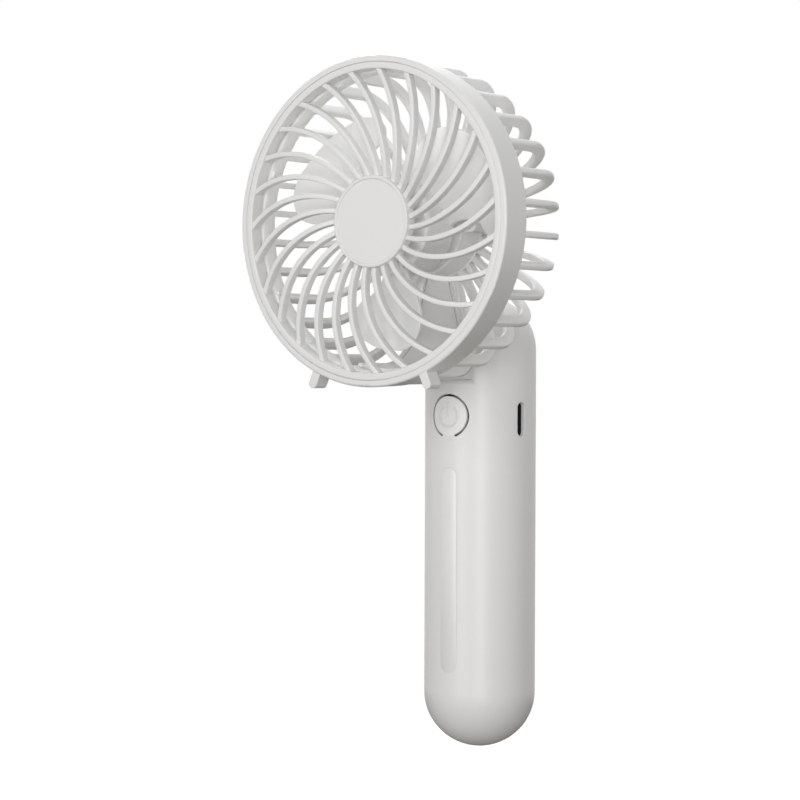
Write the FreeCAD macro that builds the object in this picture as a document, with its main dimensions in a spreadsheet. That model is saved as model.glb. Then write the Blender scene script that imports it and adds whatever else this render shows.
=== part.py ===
import FreeCAD, Part
import Sketcher
import math
import os

# Portable hand-held fan: a round guarded head carried on an upright round handle.
# Row frame in millimetres: +Z up, the fan blows towards -Y, and the origin is the centre of the grip.

V = FreeCAD.Vector
doc = FreeCAD.newDocument("portable_fan")

# Driving dimensions. Depths in the head are measured backwards from the front ring's front plane.
SIZES = {
    # Places of the main groups
    "head_back": 18.2,
    "seat_gap": 0.05,
    "seam_gap": 0.1,
    # Front ring
    "ring_radius": 48.0,
    "ring_depth": 10.8,
    "ring_draft": 0.34,
    "ring_wall": 1.95,
    "ring_edge": 0.7,
    "shoulder_depth": 4.2,
    "shoulder_length": 0.8,
    "shoulder_height": 1.45,
    "foot_angle": 23.75,
    "foot_width": 2.8,
    "foot_reach": 52.7,
    "foot_depth": 5.0,
    "foot_setback": 0.3,
    # Front grille
    "bezel_wall": 1.95,
    "bezel_edge": 0.5,
    "grille_hub_radius": 13.3,
    "grille_hub_wall": 1.4,
    "grille_hub_front": 0.6,
    "grille_hub_plate": 1.4,
    "rib_count": 27.0,
    "rib_width": 1.8,
    "rib_depth": 2.6,
    "rib_root_depth": 1.85,
    "rib_crown": 0.56,
    "rib_tip_depth": 1.08,
    "rib_start_angle": -8.76,
    "rib_middle_sweep": 13.16,
    "rib_full_sweep": 27.82,
    # Plain disc on the grille hub
    "disc_radius": 12.3,
    "disc_thickness": 0.75,
    "disc_edge": 0.2,
    # Rear basket
    "basket_step": 0.8,
    "basket_depth": 38.8,
    "basket_corner": 15.0,
    "basket_wall": 3.6,
    "rim_wall": 2.35,
    "basket_rib_count": 32.0,
    "basket_rib_width": 2.0,
    "neck_windows": 3.0,
    "back_disc_radius": 15.4,
    "cup_radius": 15.0,
    "cup_floor": 1.5,
    "boss_radius": 2.4,
    "ear_screw_radius": 17.9,
    "channel_width": 5.0,
    "channel_depth": 1.9,
    "cover_thickness": 1.0,
    "cover_margin": 1.2,
    # Stub that joins the basket to the handle
    "stub_half_width": 5.5,
    "stub_top": 31.0,
    "stub_bottom": 41.5,
    "stub_length": 9.2,
    "stub_bore_radius": 1.6,
    "neck_screw_spread": 3.6,
    "neck_screw_radius": 1.0,
    "neck_screw_length": 6.6,
    "neck_screw_head": 1.9,
    "neck_plate_thickness": 1.6,
    # Motor
    "motor_radius": 12.25,
    "motor_front": 26.6,
    "can_length": 9.6,
    "can_wall": 0.8,
    "nose_radius": 3.1,
    "nose_length": 1.5,
    "bush_radius": 2.6,
    "bush_length": 2.9,
    "shaft_radius": 1.0,
    "bearing_gap": 0.03,
    "shaft_front": 10.6,
    "bearing_depth": 0.7,
    "magnet_thickness": 1.5,
    "magnet_angle": 150.0,
    "magnet_length": 7.0,
    "air_gap": 0.5,
    "core_length": 5.5,
    "core_pole_angle": 96.0,
    "core_rim": 1.6,
    "core_arm": 3.0,
    "core_hub": 2.6,
    "winding_length": 6.7,
    "coil_start": 3.4,
    "coil_end": 7.0,
    "coil_half_width": 3.1,
    "commutator_radius": 2.2,
    "commutator_length": 1.6,
    "brush_gap": 0.3,
    "brush_thickness": 0.4,
    "retainer_thickness": 1.0,
    "retainer_bore": 9.0,
    "retainer_edge": 0.6,
    "ear_reach": 20.7,
    "ear_half_height": 2.5,
    "ear_front": 24.4,
    "ear_thickness": 2.0,
    "ear_screw_size": 1.0,
    "ear_screw_head": 1.8,
    # Impeller
    "hub_radius": 15.2,
    "hub_front": 8.2,
    "hub_rear": 21.6,
    "hub_wall": 1.6,
    "hub_edge": 1.2,
    "hub_boss": 3.0,
    "blade_count": 3.0,
    "blade_tip_radius": 37.2,
    "blade_thickness": 1.5,
    "blade_axis": 24.0,
    "blade_depth": 19.8,
    "root_twist": 0.2,
    "tip_twist": 0.25,
    # Handle
    "handle_radius": 17.0,
    "handle_top_drop": 37.0,
    "handle_wall": 2.0,
    "saddle_half_width": 8.0,
    "saddle_top": 29.0,
    "saddle_bottom": 45.6,
    "saddle_back": 12.5,
    "saddle_reach": 14.0,
    "saddle_blend": 1.6,
    "cover_half_width": 13.0,
    "cover_drop": 2.5,
    "cover_rise": 12.3,
    "cover_corner": 5.0,
    "tongue_half_width": 4.0,
    "tongue_length": 3.0,
    "tongue_thickness": 1.2,
    # Strip inlaid in the front of the handle
    "strip_width": 5.9,
    "strip_length": 62.0,
    "strip_rise": 16.95,
    "strip_depth": 1.1,
    # Power button
    "button_drop": 11.15,
    "button_radius": 6.0,
    "button_slot": 0.65,
    "button_thickness": 1.8,
    "hinge_drop": 6.95,
    "hinge_half_width": 2.1,
    "hinge_thickness": 0.55,
    "button_stem_radius": 1.2,
    # Charging socket
    "port_drop": 1.0,
    "port_forward": 2.6,
    "port_length": 10.3,
    "port_width": 3.1,
    "socket_length": 8.94,
    "socket_width": 3.16,
    "socket_depth": 7.35,
    "socket_wall": 0.3,
    "socket_setback": 2.7,
    "tongue_plate_length": 6.7,
    "tongue_plate_width": 0.7,
    "tongue_plate_depth": 4.5,
    "socket_block": 1.6,
    # Board and what is on it
    "board_front": 5.25,
    "board_thickness": 1.0,
    "board_left": 11.0,
    "board_right": 12.5,
    "board_fall": 23.25,
    "board_margin": 3.5,
    "post_radius": 2.0,
    "post_side": 7.6,
    "post_margin": 5.0,
    "post_drop": 3.8,
    "post_root": 13.9,
    "board_screw_radius": 0.9,
    "board_screw_head": 1.7,
    "board_screw_length": 4.0,
    "switch_side": 6.0,
    "switch_thickness": 3.5,
    "plunger_radius": 1.75,
    "plunger_reach": 4.5,
    "plunger_well": 1.5,
    "press_gap": 0.1,
    "chip_side": 5.0,
    "chip_thickness": 1.0,
    "choke_radius": 2.5,
    "choke_thickness": 3.0,
    "capacitor_length": 3.2,
    "capacitor_width": 1.6,
    "part_gap": 0.02,
    # Battery
    "cell_radius": 9.2,
    "cell_length": 65.0,
    "cell_rise": 6.95,
    "cell_gap": 6.3,
    "cradle_thickness": 2.0,
    "cradle_rise": 16.3,
    "cradle_drop": 10.7,
    "cradle_open": 5.5,
    "ring_thickness": 0.3,
    "tab_thickness": 0.3,
    "tab_width": 6.0,
    "tab_length": 14.0,
    "pad_half_width": 5.0,
    "pad_length": 24.0,
    "pad_rise": 35.3,
    # Leads
    "lead_radius": 0.55,
    "lead_spread": 0.75,
    "lead_bend": 2.4,
    "lead_side": 10.1,
}


class Size:
    """A length, angle or count together with the sheet formula that it follows."""

    def __init__(self, number, formula):
        self.number = float(number)
        self.formula = formula

    def __float__(self):
        return self.number

    def __add__(self, other):
        return Size(self.number + float(other), f"({self.formula} + {text(other)})")

    def __radd__(self, other):
        return Size(float(other) + self.number, f"({text(other)} + {self.formula})")

    def __sub__(self, other):
        return Size(self.number - float(other), f"({self.formula} - {text(other)})")

    def __rsub__(self, other):
        return Size(float(other) - self.number, f"({text(other)} - {self.formula})")

    def __mul__(self, other):
        return Size(self.number * float(other), f"({self.formula} * {text(other)})")

    def __rmul__(self, other):
        return Size(float(other) * self.number, f"({text(other)} * {self.formula})")

    def __truediv__(self, other):
        return Size(self.number / float(other), f"({self.formula} / {text(other)})")

    def __rtruediv__(self, other):
        return Size(float(other) / self.number, f"({text(other)} / {self.formula})")

    def __neg__(self):
        return Size(-self.number, f"(0 - {self.formula})")


def text(value):
    """The formula text of a size or of a plain number."""
    if isinstance(value, Size):
        return value.formula
    return repr(float(value))


def cosine(degrees):
    return Size(math.cos(math.radians(float(degrees))), f"cos({text(degrees)} * 1 deg)")


def sine(degrees):
    return Size(math.sin(math.radians(float(degrees))), f"sin({text(degrees)} * 1 deg)")


def root(value):
    return Size(math.sqrt(float(value)), f"sqrt({text(value)})")


def arcsine(ratio):
    """The angle in degrees whose sine is the ratio."""
    return Size(math.degrees(math.asin(float(ratio))), f"(asin({text(ratio)}) / 1 deg)")


def arctangent(ratio):
    """The angle in degrees whose tangent is the ratio."""
    return Size(math.degrees(math.atan(float(ratio))), f"(atan({text(ratio)}) / 1 deg)")


class Sheet:
    """The spreadsheet of driving dimensions, read by name."""

    def __init__(self):
        self.table = doc.addObject("Spreadsheet::Sheet", "sizes")
        for row, (name, value) in enumerate(SIZES.items(), start=1):
            self.table.set(f"A{row}", name)
            self.table.set(f"B{row}", str(value))
            self.table.setAlias(f"B{row}", name)
        doc.recompute()

    def __getattr__(self, name):
        return Size(SIZES[name], f"sizes.{name}")


s = Sheet()


def bind(target, prop, value):
    """Sets a property and ties it to the sheet."""
    if isinstance(value, Size):
        target.setExpression(prop, value.formula)
    else:
        setattr(target, prop, value)


def place(target, x=0.0, y=0.0, z=0.0, axis=V(0, 0, 1), angle=0.0):
    """Places a sub-part in the row frame, with its position tied to the sheet."""
    target.Placement = FreeCAD.Placement(V(x, y, z), FreeCAD.Rotation(axis, angle))
    for key, value in (("x", x), ("y", y), ("z", z)):
        if isinstance(value, Size):
            target.setExpression(f"Placement.Base.{key}", value.formula)


def new_body(label):
    body = doc.addObject("PartDesign::Body", label)
    body.Label = label
    body.AllowCompound = True
    return body


def head_body(label):
    """A body in the head's own frame: sketches on XY are seen from the front, and +Z points forwards."""
    body = new_body(label)
    place(body, 0.0, -head_reach, head_height, V(1, 0, 0), 90)
    return body


def plane_of(body, role):
    for feature in body.Origin.OriginFeatures:
        if feature.Role == role:
            return feature
    raise ValueError(role)


def new_sketch(body, role, name, offset=0.0):
    """A sketch on one of the body's own origin planes, moved along the plane's normal."""
    sketch = body.newObject("Sketcher::SketchObject", name)
    sketch.AttachmentSupport = (plane_of(body, role), [""])
    sketch.MapMode = "FlatFace"
    sketch.AttachmentOffset = FreeCAD.Placement(V(0, 0, float(offset)), FreeCAD.Rotation())
    if isinstance(offset, Size):
        sketch.setExpression("AttachmentOffset.Base.z", offset.formula)
    return sketch


def pin_point(sketch, item, end, point):
    """Holds one sketch point at a place given by the sheet."""
    for kind, value, axis in (("DistanceX", point[0], -2), ("DistanceY", point[1], -1)):
        if abs(float(value)) > 1e-9:
            constraint = Sketcher.Constraint(kind, -1, 1, item, end, float(value))
            index = sketch.addConstraint(constraint)
            if isinstance(value, Size):
                sketch.setExpression(f"Constraints[{index}]", value.formula)
        else:
            sketch.addConstraint(Sketcher.Constraint("PointOnObject", item, end, axis))


def flat(point):
    return V(float(point[0]), float(point[1]), 0)


def polar(radius, degrees):
    """A sketch point at a radius and an angle."""
    return (radius * cosine(degrees), radius * sine(degrees))


def along(point, heading, distance):
    """A point moved along a heading, still tied to the sheet."""
    return (point[0] + heading.x * distance, point[1] + heading.y * distance)


def outline(sketch, corners):
    """A closed outline. A corner is (x, y), with a third value where an edge radius rounds it,
    or ("arc", middle point, end point) for a stretch that is an arc to the next corner."""
    ends = []
    for corner in corners:
        ends.append(corner[2] if corner[0] == "arc" else corner)
    count = len(corners)
    # Each corner arrives at one point and leaves from one: they differ where an edge radius rounds it
    joints = []
    for i in range(count):
        point = ends[i][:2]
        if len(ends[i]) < 3:
            joints.append((point, point, None))
            continue
        back = (flat(ends[i - 1]) - flat(point)).normalize()
        ahead = (flat(ends[(i + 1) % count]) - flat(point)).normalize()
        half = back.getAngle(ahead) / 2
        reach = ends[i][2] / math.tan(half)
        inward = (back + ahead).normalize()
        middle = along(point, inward, ends[i][2] * (1 / math.sin(half) - 1))
        joints.append((along(point, back, reach), along(point, ahead, reach), middle))
    runs = []
    for i in range(count):
        middle = corners[i][1] if corners[i][0] == "arc" else None
        runs.append((joints[i - 1][1], middle, joints[i][0]))
        if joints[i][2] is not None:
            runs.append((joints[i][0], joints[i][2], joints[i][1]))
    first = None
    for start, middle, end in runs:
        if middle is None:
            item = sketch.addGeometry(Part.LineSegment(flat(start), flat(end)))
            ways = (1, 2)
        else:
            # An arc runs anticlockwise in a sketch, whichever way the outline passes along it
            turn = (flat(middle) - flat(start)).cross(flat(end) - flat(middle)).z
            ways = (1, 2) if turn > 0 else (2, 1)
            first_end, last_end = (start, end) if turn > 0 else (end, start)
            item = sketch.addGeometry(Part.Arc(flat(first_end), flat(middle), flat(last_end)))
            mark = sketch.addGeometry(Part.Point(flat(middle)), True)
            pin_point(sketch, mark, 1, middle)
            sketch.addConstraint(Sketcher.Constraint("PointOnObject", mark, 1, item))
        pin_point(sketch, item, ways[1], end)
        if first is None:
            first = (item, ways[0])
        else:
            sketch.addConstraint(Sketcher.Constraint("Coincident", *previous, item, ways[0]))
        previous = (item, ways[1])
    sketch.addConstraint(Sketcher.Constraint("Coincident", *previous, *first))


def ring_line(sketch, centre, radius):
    """A circle in a sketch."""
    item = sketch.addGeometry(Part.Circle(flat(centre), V(0, 0, 1), float(radius)))
    pin_point(sketch, item, 3, centre)
    index = sketch.addConstraint(Sketcher.Constraint("Radius", item, float(radius)))
    if isinstance(radius, Size):
        sketch.setExpression(f"Constraints[{index}]", radius.formula)


def obround(sketch, centre, length, width):
    """A slot outline with round ends, its length along the sketch's Y axis."""
    x, y = centre
    half = width / 2
    reach = length / 2 - half
    outline(
        sketch,
        [
            ("arc", (x, y - length / 2), (x + half, y - reach)),
            (x + half, y + reach),
            ("arc", (x, y + length / 2), (x - half, y + reach)),
            (x - half, y - reach),
        ],
    )


def spin(body, kind, sketch, name, degrees=360.0, both_sides=False, axis="V_Axis"):
    """A Revolution or a Groove of a sketch about one of its own axes."""
    feature = body.newObject("PartDesign::" + kind, name)
    feature.Profile = sketch
    feature.ReferenceAxis = (sketch, [axis])
    feature.Midplane = both_sides
    feature.Angle = float(degrees)
    bind(feature, "Angle", degrees)
    return feature


def extrude(body, kind, sketch, name, length, reverse=False, both_sides=False):
    """A Pad or a Pocket of a sketch."""
    feature = body.newObject("PartDesign::" + kind, name)
    feature.Profile = sketch
    feature.Length = float(length)
    feature.Reversed = reverse
    feature.Midplane = both_sides
    bind(feature, "Length", length)
    return feature


def pattern(body, originals, name, count, degrees=360.0, whole=None):
    """Copies features about the body's Z axis, or with a feature given as whole, all that is made so far."""
    feature = body.newObject("PartDesign::PolarPattern", name)
    feature.Originals = originals
    feature.Axis = (plane_of(body, "Z_Axis"), [""])
    if whole is not None:
        feature.TransformMode = "Whole shape"
        feature.BaseFeature = whole
    bind(feature, "Angle", degrees)
    bind(feature, "Occurrences", count)
    body.Tip = feature
    return feature


def trim_outside(body, name, radius):
    """Cuts a handle piece back to the handle's round outer surface."""
    sketch = new_sketch(body, "XZ_Plane", name + "Line")
    far = radius * 2
    reach = handle_length
    outline(sketch, [(radius, -reach), (far, -reach), (far, reach), (radius, reach)])
    return spin(body, "Groove", sketch, name)


def solid_feature(label, shape):
    """A sub-part whose shape is made with Part's own functions."""
    feature = doc.addObject("Part::Feature", label)
    feature.Label = label
    feature.Shape = shape
    return feature


# Heights along the handle, measured up from the grip's centre. The handle is as long as what it holds
handle_length = s.cell_rise + s.cell_length + s.cell_gap + s.board_fall + s.handle_top_drop
cell_bottom = s.cell_rise - handle_length / 2
board_bottom = cell_bottom + s.cell_length + s.cell_gap
button_height = board_bottom + s.board_fall
port_height = button_height - s.port_drop
head_height = button_height + s.button_drop + s.saddle_bottom
post_low = board_bottom + s.post_margin
post_high = head_height - s.stub_bottom - s.neck_plate_thickness * 2 - s.post_drop
board_top = post_high + s.board_margin
cradle_low = cell_bottom + s.cradle_rise
cradle_high = cell_bottom + s.cell_length - s.cradle_drop
cover_top = post_high - s.cover_drop
cover_bottom = cell_bottom + s.cover_rise
strip_height = cell_bottom + s.strip_rise + s.strip_length / 2
pad_height = cell_bottom + s.pad_rise
head_reach = s.basket_depth + s.head_back

# Shared places in the head, as radius and depth behind the front plane
ring_bore = s.ring_radius - s.ring_wall
bezel_radius = ring_bore - s.seam_gap
bezel_bore = bezel_radius - s.bezel_wall
shoulder_end = s.shoulder_depth + s.shoulder_length
basket_front = s.ring_depth + s.seat_gap
rim_bore = bezel_radius - s.rim_wall
basket_radius = s.ring_radius - s.basket_step
inner_depth = s.basket_depth - s.basket_wall
inner_radius = basket_radius - s.basket_wall
inner_corner = s.basket_corner - s.basket_wall
cup_bore = s.motor_radius + s.seat_gap
cup_end = s.basket_depth - s.cup_floor
cup_rim = s.motor_front
motor_back = cup_end - s.seat_gap
cap_front = s.motor_front + s.can_length
shaft_back = cap_front + s.bearing_depth


def make_front_ring():
    body = head_body("front_ring")
    sketch = new_sketch(body, "XZ_Plane", "RingSection")
    rear_radius = s.ring_radius - s.ring_draft
    shoulder_bore = ring_bore - s.shoulder_height
    outline(
        sketch,
        [
            (ring_bore, 0.0),
            (s.ring_radius, 0.0, s.ring_edge),
            (rear_radius, -s.ring_depth, s.ring_edge / 2),
            (ring_bore, -s.ring_depth),
            (ring_bore, -shoulder_end),
            (shoulder_bore, -shoulder_end),
            (shoulder_bore, -s.shoulder_depth),
            (ring_bore, -s.shoulder_depth),
        ],
    )
    spin(body, "Revolution", sketch, "Hoop")
    # Two stub feet stand out below the ring, either side of the handle
    foot = new_sketch(body, "XY_Plane", "FootOutline", -s.foot_setback)
    down = s.foot_angle - 90
    half = s.foot_width / 2
    root = ring_bore + s.ring_wall / 2
    tip = s.foot_reach - half
    along = (cosine(down), sine(down))
    across = (-sine(down), cosine(down))
    near_side = (along[0] * root + across[0] * half, along[1] * root + across[1] * half)
    near_tip = (along[0] * tip + across[0] * half, along[1] * tip + across[1] * half)
    far_side = (along[0] * root - across[0] * half, along[1] * root - across[1] * half)
    far_tip = (along[0] * tip - across[0] * half, along[1] * tip - across[1] * half)
    end = (along[0] * s.foot_reach, along[1] * s.foot_reach)
    outline(foot, [near_side, near_tip, ("arc", end, far_tip), far_side])
    pad = extrude(body, "Pad", foot, "Foot", s.foot_depth, reverse=True)
    mirror = body.newObject("PartDesign::Mirrored", "OtherFoot")
    mirror.Originals = [pad]
    mirror.MirrorPlane = (plane_of(body, "YZ_Plane"), [""])
    body.Tip = mirror
    return body


def rib_side(radius, angle, side, slope):
    """A point on one side of a swept grille rib, at half its width from the centre line."""
    lean = radius * slope * math.pi / 180
    offset = s.rib_width / 2 * root(lean * lean + 1.0) / radius
    return polar(radius, angle + offset * side * (180 / math.pi))


def make_front_grille():
    """The hub, bowed swept ribs and bezel: a turned disc with one window cut per rib gap."""
    body = head_body("front_grille")
    sketch = new_sketch(body, "XZ_Plane", "GrilleSection")
    middle = (s.grille_hub_radius + bezel_bore) / 2
    recess_radius = s.disc_radius + s.seat_gap
    recess_floor = s.grille_hub_front + s.disc_edge + s.disc_thickness
    hub_inner = s.grille_hub_radius - s.grille_hub_wall
    plate_back = recess_floor + s.grille_hub_plate
    hub_back = s.rib_root_depth + s.rib_depth
    outline(
        sketch,
        [
            (0.0, -recess_floor),
            (recess_radius, -recess_floor),
            (recess_radius, -s.grille_hub_front),
            (s.grille_hub_radius, -s.grille_hub_front, s.bezel_edge / 2),
            (s.grille_hub_radius, -s.rib_root_depth),
            ("arc", (middle, s.rib_crown), (bezel_bore, -s.rib_tip_depth)),
            (bezel_bore, 0.0, s.bezel_edge),
            (bezel_radius, 0.0, s.bezel_edge),
            (bezel_radius, s.seat_gap - s.shoulder_depth),
            (bezel_bore, s.seat_gap - s.shoulder_depth),
            (bezel_bore, -s.rib_tip_depth - s.rib_depth),
            (
                "arc",
                (middle, s.rib_crown - s.rib_depth),
                (s.grille_hub_radius, -hub_back),
            ),
            (hub_inner, -hub_back),
            (hub_inner, -plate_back),
            (0.0, -plate_back),
        ],
    )
    spin(body, "Revolution", sketch, "GrilleDisc")
    # A rib's centre line turns with radius: its angles at the hub, the middle and the bezel are given
    window = new_sketch(body, "XY_Plane", "WindowOutline", s.ring_depth)
    half_run = (bezel_bore - s.grille_hub_radius) / 2
    turn = (s.rib_full_sweep - 2 * s.rib_middle_sweep) / (half_run * half_run)
    middle_slope = s.rib_full_sweep / (2 * half_run)
    stations = []
    for radius, sweep, slope in (
        (s.grille_hub_radius, 0.0, middle_slope - turn * half_run),
        (middle, s.rib_middle_sweep, middle_slope),
        (bezel_bore, s.rib_full_sweep, middle_slope + turn * half_run),
    ):
        angle = s.rib_start_angle + sweep
        pitch = 360 / s.rib_count
        stations.append((rib_side(radius, angle, 1.0, slope), rib_side(radius, angle + pitch, -1.0, slope)))
    half_pitch = 180 / s.rib_count
    inner_middle = polar(s.grille_hub_radius, s.rib_start_angle + half_pitch)
    outer_middle = polar(bezel_bore, s.rib_start_angle + s.rib_full_sweep + half_pitch)
    (near_in, far_in), (near_middle, far_middle), (near_out, far_out) = stations
    outline(
        window,
        [
            ("arc", inner_middle, near_in),
            ("arc", near_middle, near_out),
            ("arc", outer_middle, far_out),
            ("arc", far_middle, far_in),
        ],
    )
    pocket = extrude(body, "Pocket", window, "Window", s.ring_depth * 2)
    pattern(body, [pocket], "Windows", s.rib_count)
    return body


def make_hub_disc():
    body = head_body("hub_disc")
    sketch = new_sketch(body, "XZ_Plane", "DiscSection")
    front = s.grille_hub_front + s.disc_edge
    back = front + s.disc_thickness - s.seat_gap / 2
    outline(
        sketch,
        [(0.0, -back), (s.disc_radius, -back), (s.disc_radius, -front, s.disc_edge), (0.0, -front)],
    )
    spin(body, "Revolution", sketch, "Disc")
    return body


def make_rear_basket():
    """Rim, straight ribs that round over to the back disc, motor cup and neck sector: a turned bowl
    with a window cut between each pair of ribs, except where the neck stays solid."""
    body = head_body("rear_basket")
    sketch = new_sketch(body, "XZ_Plane", "BasketSection")
    outline(
        sketch,
        [
            (0.0, -s.basket_depth),
            (0.0, -cup_end),
            (cup_bore, -cup_end),
            (cup_bore, -cup_rim),
            (s.cup_radius, -cup_rim),
            (s.cup_radius, -inner_depth),
            (inner_radius, -inner_depth, inner_corner),
            (inner_radius, -shoulder_end - s.seat_gap),
            (bezel_radius, -shoulder_end - s.seat_gap),
            (bezel_radius, -basket_front),
            (basket_radius, -basket_front),
            (basket_radius, -s.basket_depth, s.basket_corner),
        ],
    )
    spin(body, "Revolution", sketch, "Bowl")
    window = new_sketch(body, "XY_Plane", "RibGapOutline", -basket_front)
    pitch = 360 / s.basket_rib_count
    solid_half = pitch * (s.neck_windows / 2)
    low = solid_half - 90
    high = low + pitch
    half = s.basket_rib_width / 2
    inside = s.back_disc_radius
    outside = basket_radius + s.basket_wall
    inner_skew = arcsine(half / inside)
    outer_skew = arcsine(half / outside)
    outline(
        window,
        [
            ("arc", polar(inside, low + pitch / 2), polar(inside, low + inner_skew)),
            polar(outside, low + outer_skew),
            ("arc", polar(outside, low + pitch / 2), polar(outside, high - outer_skew)),
            polar(inside, high - inner_skew),
        ],
    )
    gap = extrude(body, "Pocket", window, "RibGap", s.basket_depth)
    open_gaps = s.basket_rib_count - s.neck_windows
    pattern(body, [gap], "RibGaps", open_gaps, pitch * (open_gaps - 1))
    # Bosses beside the cup carry the retainer's ears
    boss = new_sketch(body, "XY_Plane", "BossOutline", -s.ear_front - s.ear_thickness)
    for side in (-1.0, 1.0):
        ring_line(boss, (s.ear_screw_radius * side, 0.0), s.boss_radius)
    boss_length = s.basket_depth - s.ear_front - s.ear_thickness
    extrude(body, "Pad", boss, "Bosses", boss_length, reverse=True)
    holes = new_sketch(body, "XY_Plane", "BossHoleOutline", -s.ear_front)
    for side in (-1.0, 1.0):
        ring_line(holes, (s.ear_screw_radius * side, 0.0), s.ear_screw_size)
    extrude(body, "Pocket", holes, "BossHoles", boss_length)
    # The stub reaches back into the handle below the middle
    stub = new_sketch(body, "XY_Plane", "StubOutline", -inner_depth)
    outline(
        stub,
        [
            (-s.stub_half_width, -s.stub_bottom),
            (s.stub_half_width, -s.stub_bottom),
            (s.stub_half_width, -s.stub_top),
            (-s.stub_half_width, -s.stub_top),
        ],
    )
    extrude(body, "Pad", stub, "Stub", s.stub_length, reverse=True)
    # The leads run down a channel under the wire cover and back through the stub
    channel = new_sketch(body, "XY_Plane", "ChannelOutline", -inner_depth)
    half_channel = s.channel_width / 2
    bore_height = (s.stub_top + s.stub_bottom) / 2
    outline(
        channel,
        [
            (-half_channel, -bore_height),
            (half_channel, -bore_height),
            (half_channel, -cup_bore + s.ring_wall),
            (-half_channel, -cup_bore + s.ring_wall),
        ],
    )
    extrude(body, "Pocket", channel, "Channel", s.channel_depth)
    bore = new_sketch(body, "XY_Plane", "LeadBoreOutline", -s.motor_front)
    ring_line(bore, (0.0, -bore_height), s.stub_bore_radius)
    extrude(body, "Pocket", bore, "LeadBore", s.basket_depth)
    screws = new_sketch(body, "XY_Plane", "NeckScrewOutline", -inner_depth - s.stub_length)
    for side in (-1.0, 1.0):
        ring_line(screws, (0.0, s.neck_screw_spread * side - bore_height), s.neck_screw_radius)
    extrude(body, "Pocket", screws, "NeckScrewHoles", s.neck_screw_length, reverse=True)
    return body


def make_wire_cover():
    """A thin cover that lines the inside of the neck sector from the motor cup round to the rim."""
    body = head_body("wire_cover")
    sketch = new_sketch(body, "YZ_Plane", "CoverSection")
    gap = s.seat_gap
    radius = inner_radius - gap
    depth = inner_depth - gap
    near = s.cup_radius + gap
    front = s.ring_depth + s.foot_setback
    outline(
        sketch,
        [
            (-near, -depth),
            (-near, s.cover_thickness - depth),
            (s.cover_thickness - radius, s.cover_thickness - depth, inner_corner - gap - s.cover_thickness),
            (s.cover_thickness - radius, -front),
            (-radius, -front),
            (-radius, -depth, inner_corner - gap),
        ],
    )
    sector = 360 / s.basket_rib_count * s.neck_windows
    spin(body, "Revolution", sketch, "Cover", sector - 2 * s.cover_margin, both_sides=True)
    return body


def make_motor_retainer():
    """A flat ring over the motor's front edge, with an ear each side that is screwed to a boss."""
    body = head_body("motor_retainer")
    front = s.motor_front - s.retainer_thickness
    sketch = new_sketch(body, "XZ_Plane", "RetainerSection")
    back = s.motor_front - s.seat_gap
    outline(
        sketch,
        [
            (s.retainer_bore, -back),
            (s.cup_radius, -back),
            (s.cup_radius, -front, s.retainer_edge),
            (s.retainer_bore, -front),
        ],
    )
    spin(body, "Revolution", sketch, "Ring")
    ears = new_sketch(body, "XY_Plane", "EarOutline", -s.ear_front)
    inner = s.cup_radius + s.seat_gap
    edge = s.ear_half_height * 0.8
    for side in (-1.0, 1.0):
        outline(
            ears,
            [
                (inner * side, -s.ear_half_height),
                (s.ear_reach * side, -s.ear_half_height, edge),
                (s.ear_reach * side, s.ear_half_height, edge),
                (inner * side, s.ear_half_height),
            ],
        )
    extrude(body, "Pad", ears, "Ears", s.ear_thickness - s.seat_gap, reverse=True)
    # Short bridges tie the ears to the ring
    bridges = new_sketch(body, "XY_Plane", "BridgeOutline", -front)
    for side in (-1.0, 1.0):
        outline(
            bridges,
            [
                ((s.cup_radius - s.retainer_edge) * side, s.seat_gap - s.ear_half_height),
                (s.ear_screw_radius * side, s.seat_gap - s.ear_half_height),
                (s.ear_screw_radius * side, s.ear_half_height - s.seat_gap),
                ((s.cup_radius - s.retainer_edge) * side, s.ear_half_height - s.seat_gap),
            ],
        )
    extrude(body, "Pad", bridges, "Bridges", s.ear_front + s.ear_thickness - s.seat_gap - front, reverse=True)
    holes = new_sketch(body, "XY_Plane", "EarHoleOutline", -s.ear_front)
    for side in (-1.0, 1.0):
        ring_line(holes, (s.ear_screw_radius * side, 0.0), s.ear_screw_size + s.seat_gap)
    extrude(body, "Pocket", holes, "EarHoles", s.ear_thickness * 2)
    return body


def turned_screw(body, name, centre, role, offset, head_radius, head, shank_radius, shank, reverse):
    """A screw's head and shank as two pads: reverse turns both along or against the sketch normal."""
    top = new_sketch(body, role, name + "HeadOutline", offset)
    ring_line(top, centre, head_radius)
    extrude(body, "Pad", top, name + "Head", head, reverse=not reverse)
    stem = new_sketch(body, role, name + "ShankOutline", offset)
    ring_line(stem, centre, shank_radius)
    extrude(body, "Pad", stem, name + "Shank", shank, reverse=reverse)


def make_retainer_screws():
    body = head_body("retainer_screws")
    front = s.seat_gap - s.ear_front
    for side, name in ((-1.0, "Left"), (1.0, "Right")):
        centre = (s.ear_screw_radius * side, 0.0)
        turned_screw(
            body, name, centre, "XY_Plane", front, s.ear_screw_head, s.retainer_thickness,
            s.ear_screw_size - s.seat_gap / 2, s.basket_wall * 2, True,
        )
    return body


def tube(body, name, outer, inner, front, back, kind="Revolution"):
    """A plain ring in the head: radii, and depths of its two faces."""
    sketch = new_sketch(body, "XZ_Plane", name + "Section")
    outline(sketch, [(inner, -back), (outer, -back), (outer, -front), (inner, -front)])
    return spin(body, kind, sketch, name)


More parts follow.
